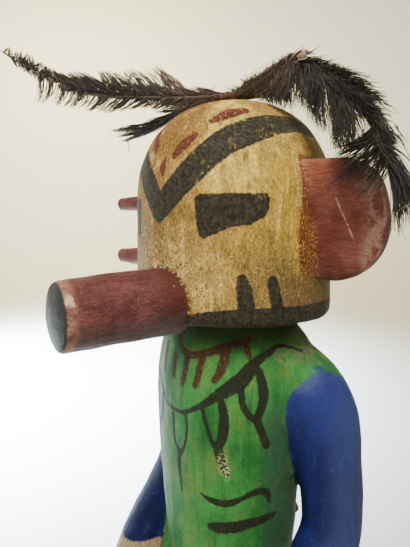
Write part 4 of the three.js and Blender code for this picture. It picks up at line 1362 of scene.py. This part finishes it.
ARCHED_QUILL = [
    (2, 281.2, 0.9),
    (8, 281.2, 0.9),
    (17, 281.6, 0.9),
    (24.6, 282.6, 0.8),
    (28.7, 281.6, 0.8),
    (34, 279, 0.7),
    (39, 275.2, 0.65),
    (43.6, 272.6, 0.6),
    (47.9, 269.2, 0.55),
    (51.8, 265.3, 0.5),
    (54.5, 261.3, 0.45),
    (56.1, 257.6, 0.4),
    (56.3, 255, 0.3),
    (55.4, 253, 0.2),
]
arched = [quill(ARCH_HEADING, ARCHED_QUILL)]
bare_quill = [(30.2, 282.4, -1.8, 0.95), (32.2, 282.7, -1.9, 0.8)]
arched.append(([(on_heading(ARCH_HEADING, out, z, off), radius) for out, z, off, radius in bare_quill], 1.0))
for roots, tips, count, bow, loose, wide, tone in [
    # the brown curtain from the peak down to the crown, and the fluff along its top
    ([(26.4, 285), (22.4, 284.6)], [(3, 281.2), (8, 279.6), (14, 277)], 90, 0.06, 0.7, 1.4, 0.4),
    ([(28.4, 284.4), (23.4, 285)], [(14, 277), (22.6, 274.4)], 100, 0.1, 0.8, 1.8, 0.45),
    ([(2, 281.4), (16, 281.6)], [(7, 283.8), (22, 285)], 90, -0.1, 0.5, 1.2, 0.35),
    ([(14, 281.8), (24, 283)], [(19, 284.6), (25.4, 286)], 50, -0.05, 0.3, 0.8, 0.35),
    ([(0, 281.6), (12, 281.4)], [(-3, 283.4), (6, 284.4)], 26, 0.1, 0.5, 1.0, 0.4),
    ([(24.6, 284.6), (29, 283.4)], [(30.4, 284.4), (33.4, 282.6)], 40, 0.12, 0.5, 1.0, 0.4),
    ([(6, 281.6), (20, 282.4)], [(3, 278.8), (9, 277.6), (16, 276.4)], 110, 0.08, 0.7, 1.6, 0.35),
    ([(1, 281.4), (24, 283.6)], [(6, 282.2), (26, 284.8)], 120, -0.03, 0.6, 1.4, 0.3),
    ([(10, 281.6), (25, 283)], [(11.8, 276.2), (19.6, 273.4), (24.6, 272.4)], 190, 0.06, 0.7, 1.6, 0.3),
    ([(12, 279.4), (24, 277.6)], [(17.6, 272.8), (25.6, 269.8)], 60, 0.16, 0.8, 1.6, 0.05),
    # the black mass behind it and the tuft that hangs over the dome
    ([(22, 282.4), (30, 281.8)], [(20.6, 275.4), (29, 271.6)], 120, 0.12, 0.8, 1.8, 0.05),
    ([(28, 282.4), (36, 278.6)], [(29, 271.4), (35, 268)], 130, 0.1, 0.8, 1.6, 0.0),
    ([(28.8, 279.4), (36, 275.4)], [(33.2, 266.6), (35.8, 264), (38.2, 262.2)], 120, 0.08, 0.45, 1.0, 0.0),
    ([(33, 280.4), (40, 275.8)], [(37.4, 272), (43, 269.4)], 90, -0.1, 0.7, 1.4, 0.0),
    ([(28, 282.4), (40, 275.4)], [(36.4, 280.2), (44.4, 275)], 110, 0.1, 0.5, 1.2, 0.05),
    ([(36, 278), (50, 268)], [(43.6, 275.8), (50, 271.4), (55, 265.6)], 150, 0.1, 0.5, 1.3, 0.0),
    # the second hanging tuft
    ([(37.4, 275), (45, 271.6)], [(40.8, 258.8), (43.2, 257.4), (46.4, 257)], 190, 0.07, 0.5, 1.2, 0.0),
    # the long barbs that lie along the outside of the arch
    ([(33, 280.6), (44, 273.4)], [(48, 269.8), (55.6, 263.4)], 130, -0.16, 0.5, 1.2, 0.0),
    ([(40, 275.6), (50, 268.6)], [(54.6, 263), (58, 256)], 130, -0.14, 0.4, 1.1, 0.0),
    ([(46, 271.4), (53.4, 264.6)], [(57.4, 258.4), (57.6, 251.4)], 110, -0.12, 0.4, 1.0, 0.05),
    ([(50, 268), (55.4, 260.4)], [(55.6, 258), (54, 250.4)], 90, 0.04, 0.5, 1.2, 0.0),
    # the thin threads across the hollow of the arch
    ([(40.6, 270.6), (46, 270)], [(47.6, 258.4), (52.6, 260)], 44, 0.1, 0.9, 0.8, 0.2),
    ([(41, 273), (50.4, 267.4)], [(44.6, 265), (51.4, 265.4)], 64, 0.1, 0.8, 1.2, 0.0),
    # the fan over the top of the ear, the tuft before it and the trail outside it
    ([(55.6, 259.4), (53, 262)], [(42.4, 258.2), (40.6, 255)], 54, 0.1, 1.0, 1.2, 0.0),
    ([(56.6, 257.6), (53.6, 260)], [(36.8, 246.4), (41, 251.6), (41.6, 254.6)], 30, 0.04, 0.6, 1.4, 0.0),
    ([(57, 256), (54, 259.6)], [(48.4, 246.2), (44.4, 248.8), (42.4, 253.2)], 40, 0.08, 1.2, 1.6, 0.0),
    ([(57.2, 255), (55, 258)], [(53.4, 247.2), (48.4, 246.6)], 30, 0.1, 1.1, 1.4, 0.0),
    ([(54, 257.4), (57.4, 252)], [(60.4, 251.2), (61.2, 246.4)], 50, 0.12, 0.7, 1.4, 0.05),
    ([(55.4, 255), (57.6, 250)], [(61, 246), (60, 239)], 80, 0.1, 0.7, 1.3, 0.0),
    ([(55.6, 253), (58, 248)], [(59.4, 240), (58.4, 236.6)], 30, 0.05, 0.6, 1.0, 0.1),
    ([(55.4, 256), (58.3, 250.6)], [(62.2, 246), (62.4, 240)], 70, 0.06, 0.6, 1.2, 0.0),
    ([(40.5, 275.4), (45.6, 272)], [(44.4, 276), (49.6, 271.2)], 60, -0.06, 0.45, 1.0, 0.0),
]:
    arched += tuft(ARCH_HEADING, roots, tips, count, bow, loose, wide, tone)
for root, tip in [
    ((29.7, 283.5), (36.4, 283.9)),
    ((38.9, 275.9), (39.7, 279.6)),
    ((41.1, 274.6), (41.8, 278.2)),
    ((42.9, 274.1), (44.6, 276.9)),
    ((46.5, 271.8), (50.7, 273.3)),
    ((48.5, 269.5), (50.8, 270.2)),
    ((52, 267.6), (58.2, 263)),
    ((51, 268), (56.4, 264.6)),
    ((57.2, 260.5), (60.6, 255.8)),
    ((58, 258.3), (60.8, 252.7)),
]:
    arched += tuft(ARCH_HEADING, [root, root], [tip, tip], 2, -0.06, 0.25, 0.6, 0.15, 0.9)
rods("plume_over_ear", "plume_arched", arched, feather_black)

SMALL_QUILL = [
    (2, 281, 0.7),
    (12, 280.6, 0.7),
    (21.6, 279, 0.6),
    (28.4, 276.9, 0.55),
    (35.5, 275, 0.45),
    (40.4, 274.2, 0.4),
    (46.6, 273.6, 0.3),
    (51.9, 274, 0.2),
]
small = [quill(SMALL_HEADING, SMALL_QUILL)]
for roots, tips, count, bow, loose, tone in [
    ([(19.5, 279), (9, 280.4)], [(33, 280), (29.4, 280.3)], 34, -0.03, 0.35, 0.2),
    ([(20, 278.4), (10, 279.8)], [(29.4, 278.6), (24, 278.6)], 26, 0.03, 0.35, 0.2),
    ([(27, 277.6), (16, 279)], [(39.4, 276.9), (35.4, 276.8)], 44, 0.02, 0.25, 0.1),
    ([(28, 276.4), (18, 278.6)], [(36, 275.2), (32.4, 275.4)], 26, 0.03, 0.3, 0.1),
    ([(37.9, 274.9), (27, 276.4)], [(55.6, 276.4), (52.4, 275.6)], 40, 0.03, 0.22, 0.0),
    ([(39.9, 274.2), (29, 275.6)], [(52.6, 274.2), (47.8, 274.2)], 34, 0.0, 0.25, 0.0),
    ([(41.4, 273.6), (28, 275.8)], [(50.4, 271.8), (46.4, 271.6)], 50, -0.03, 0.25, 0.0),
    ([(36, 274.6), (24, 277)], [(42, 272.4), (32, 273.6)], 40, -0.04, 0.4, 0.05),
    ([(46.6, 272.6), (46, 272.6)], [(46.4, 266), (46, 266.4)], 2, 0.0, 0.2, 0.2),
]:
    small += tuft(SMALL_HEADING, roots, tips, count, bow, loose, 0.7, tone)
rods("plume_behind", "plume_small", small, feather_black)

# Stage. A round sweep of pale paper under soft warm light from overhead, with a warm light on the paper
# behind and a window's cool pool of light at the doll's right. The camera stands where the photograph's did,
# 11 cm from the mask and a little below its middle, and looks slightly down.
SWEEP_RADIUS = 1100
SWEEP_BEND = 500
SWEEP_TOP = 1800
profile = [(0, 0), (SWEEP_RADIUS, 0)]
for step in range(1, 13):
    turn = step / 12 * math.pi / 2
    profile.append((SWEEP_RADIUS + SWEEP_BEND * math.sin(turn), SWEEP_BEND * (1 - math.cos(turn))))
profile.append((SWEEP_RADIUS + SWEEP_BEND, SWEEP_TOP))
bm = bmesh.new()
turned(bm, profile, 72)
bmesh.ops.reverse_faces(bm, faces=bm.faces)
sweep = make_object("paper_sweep", bm)
paper = Finish("pale_paper")
sweep.data.materials.append(paper.finish(srgb(220, 220, 217), 0.9))

world = bpy.data.worlds.new("studio")
world.use_nodes = True
sky = world.node_tree.nodes["Background"]
sky.inputs["Color"].default_value = (0.95, 0.95, 1.0, 1)
sky.inputs["Strength"].default_value = 0.22
bpy.context.scene.world = world


def lamp(name, kind, power, tint, place, target):
    """A lamp at a place, turned toward a target, with its energy in watts; places are in metres."""
    light = bpy.data.lights.new(name, kind)
    light.energy = power
    light.color = tint
    holder = bpy.data.objects.new(name, light)
    holder.location = place
    holder.rotation_mode = "QUATERNION"
    holder.rotation_quaternion = (Vector(target) - Vector(place)).to_track_quat("-Z", "Y")
    bpy.context.scene.collection.objects.link(holder)
    return light


overhead = lamp("overhead", "AREA", 5.7, (1.0, 0.95, 0.84), (0.2, -0.3, 0.7), (0, 0, 0.22))
overhead.shape = "DISK"
overhead.size = 0.3
wall_wash = lamp("wall_wash", "AREA", 24, (1.0, 0.83, 0.36), (-0.9, 0.35, 0.9), (-1.2, 1.25, 0.3))
wall_wash.shape = "DISK"
wall_wash.size = 0.5
pool = lamp("window_pool", "SPOT", 1500, (0.76, 0.87, 1.0), (-0.75, -0.35, 0.9), (-0.62, 0.12, 0))
pool.spot_size = math.radians(58)
pool.spot_blend = 1.0
pool.shadow_soft_size = 0.15

CAMERA_TURN = math.radians(41)
CAMERA_DISTANCE = 0.1453
CAMERA_Z = 0.2383
CAMERA_DROP = math.radians(5.69)
FOCAL_PIXELS = 442
AXIS_RIGHT_PIXELS = 28
FRAME_HIGH = 547
SENSOR = 36

camera_data = bpy.data.cameras.new("camera")
camera_data.sensor_fit = "AUTO"
camera_data.sensor_width = SENSOR
camera_data.lens = FOCAL_PIXELS / FRAME_HIGH * SENSOR
camera_data.clip_start = 0.005
camera = bpy.data.objects.new("camera", camera_data)
camera.location = (
    CAMERA_DISTANCE * math.sin(CAMERA_TURN),
    -CAMERA_DISTANCE * math.cos(CAMERA_TURN),
    CAMERA_Z,
)
sight = Vector((-math.sin(CAMERA_TURN), math.cos(CAMERA_TURN), 0))
sight.rotate(Matrix.Rotation(math.atan(AXIS_RIGHT_PIXELS / FOCAL_PIXELS), 3, "Z"))
sight = sight * math.cos(CAMERA_DROP) - Vector((0, 0, math.sin(CAMERA_DROP)))
camera.rotation_mode = "QUATERNION"
camera.rotation_quaternion = sight.to_track_quat("-Z", "Y")
bpy.context.scene.collection.objects.link(camera)
bpy.context.scene.camera = camera
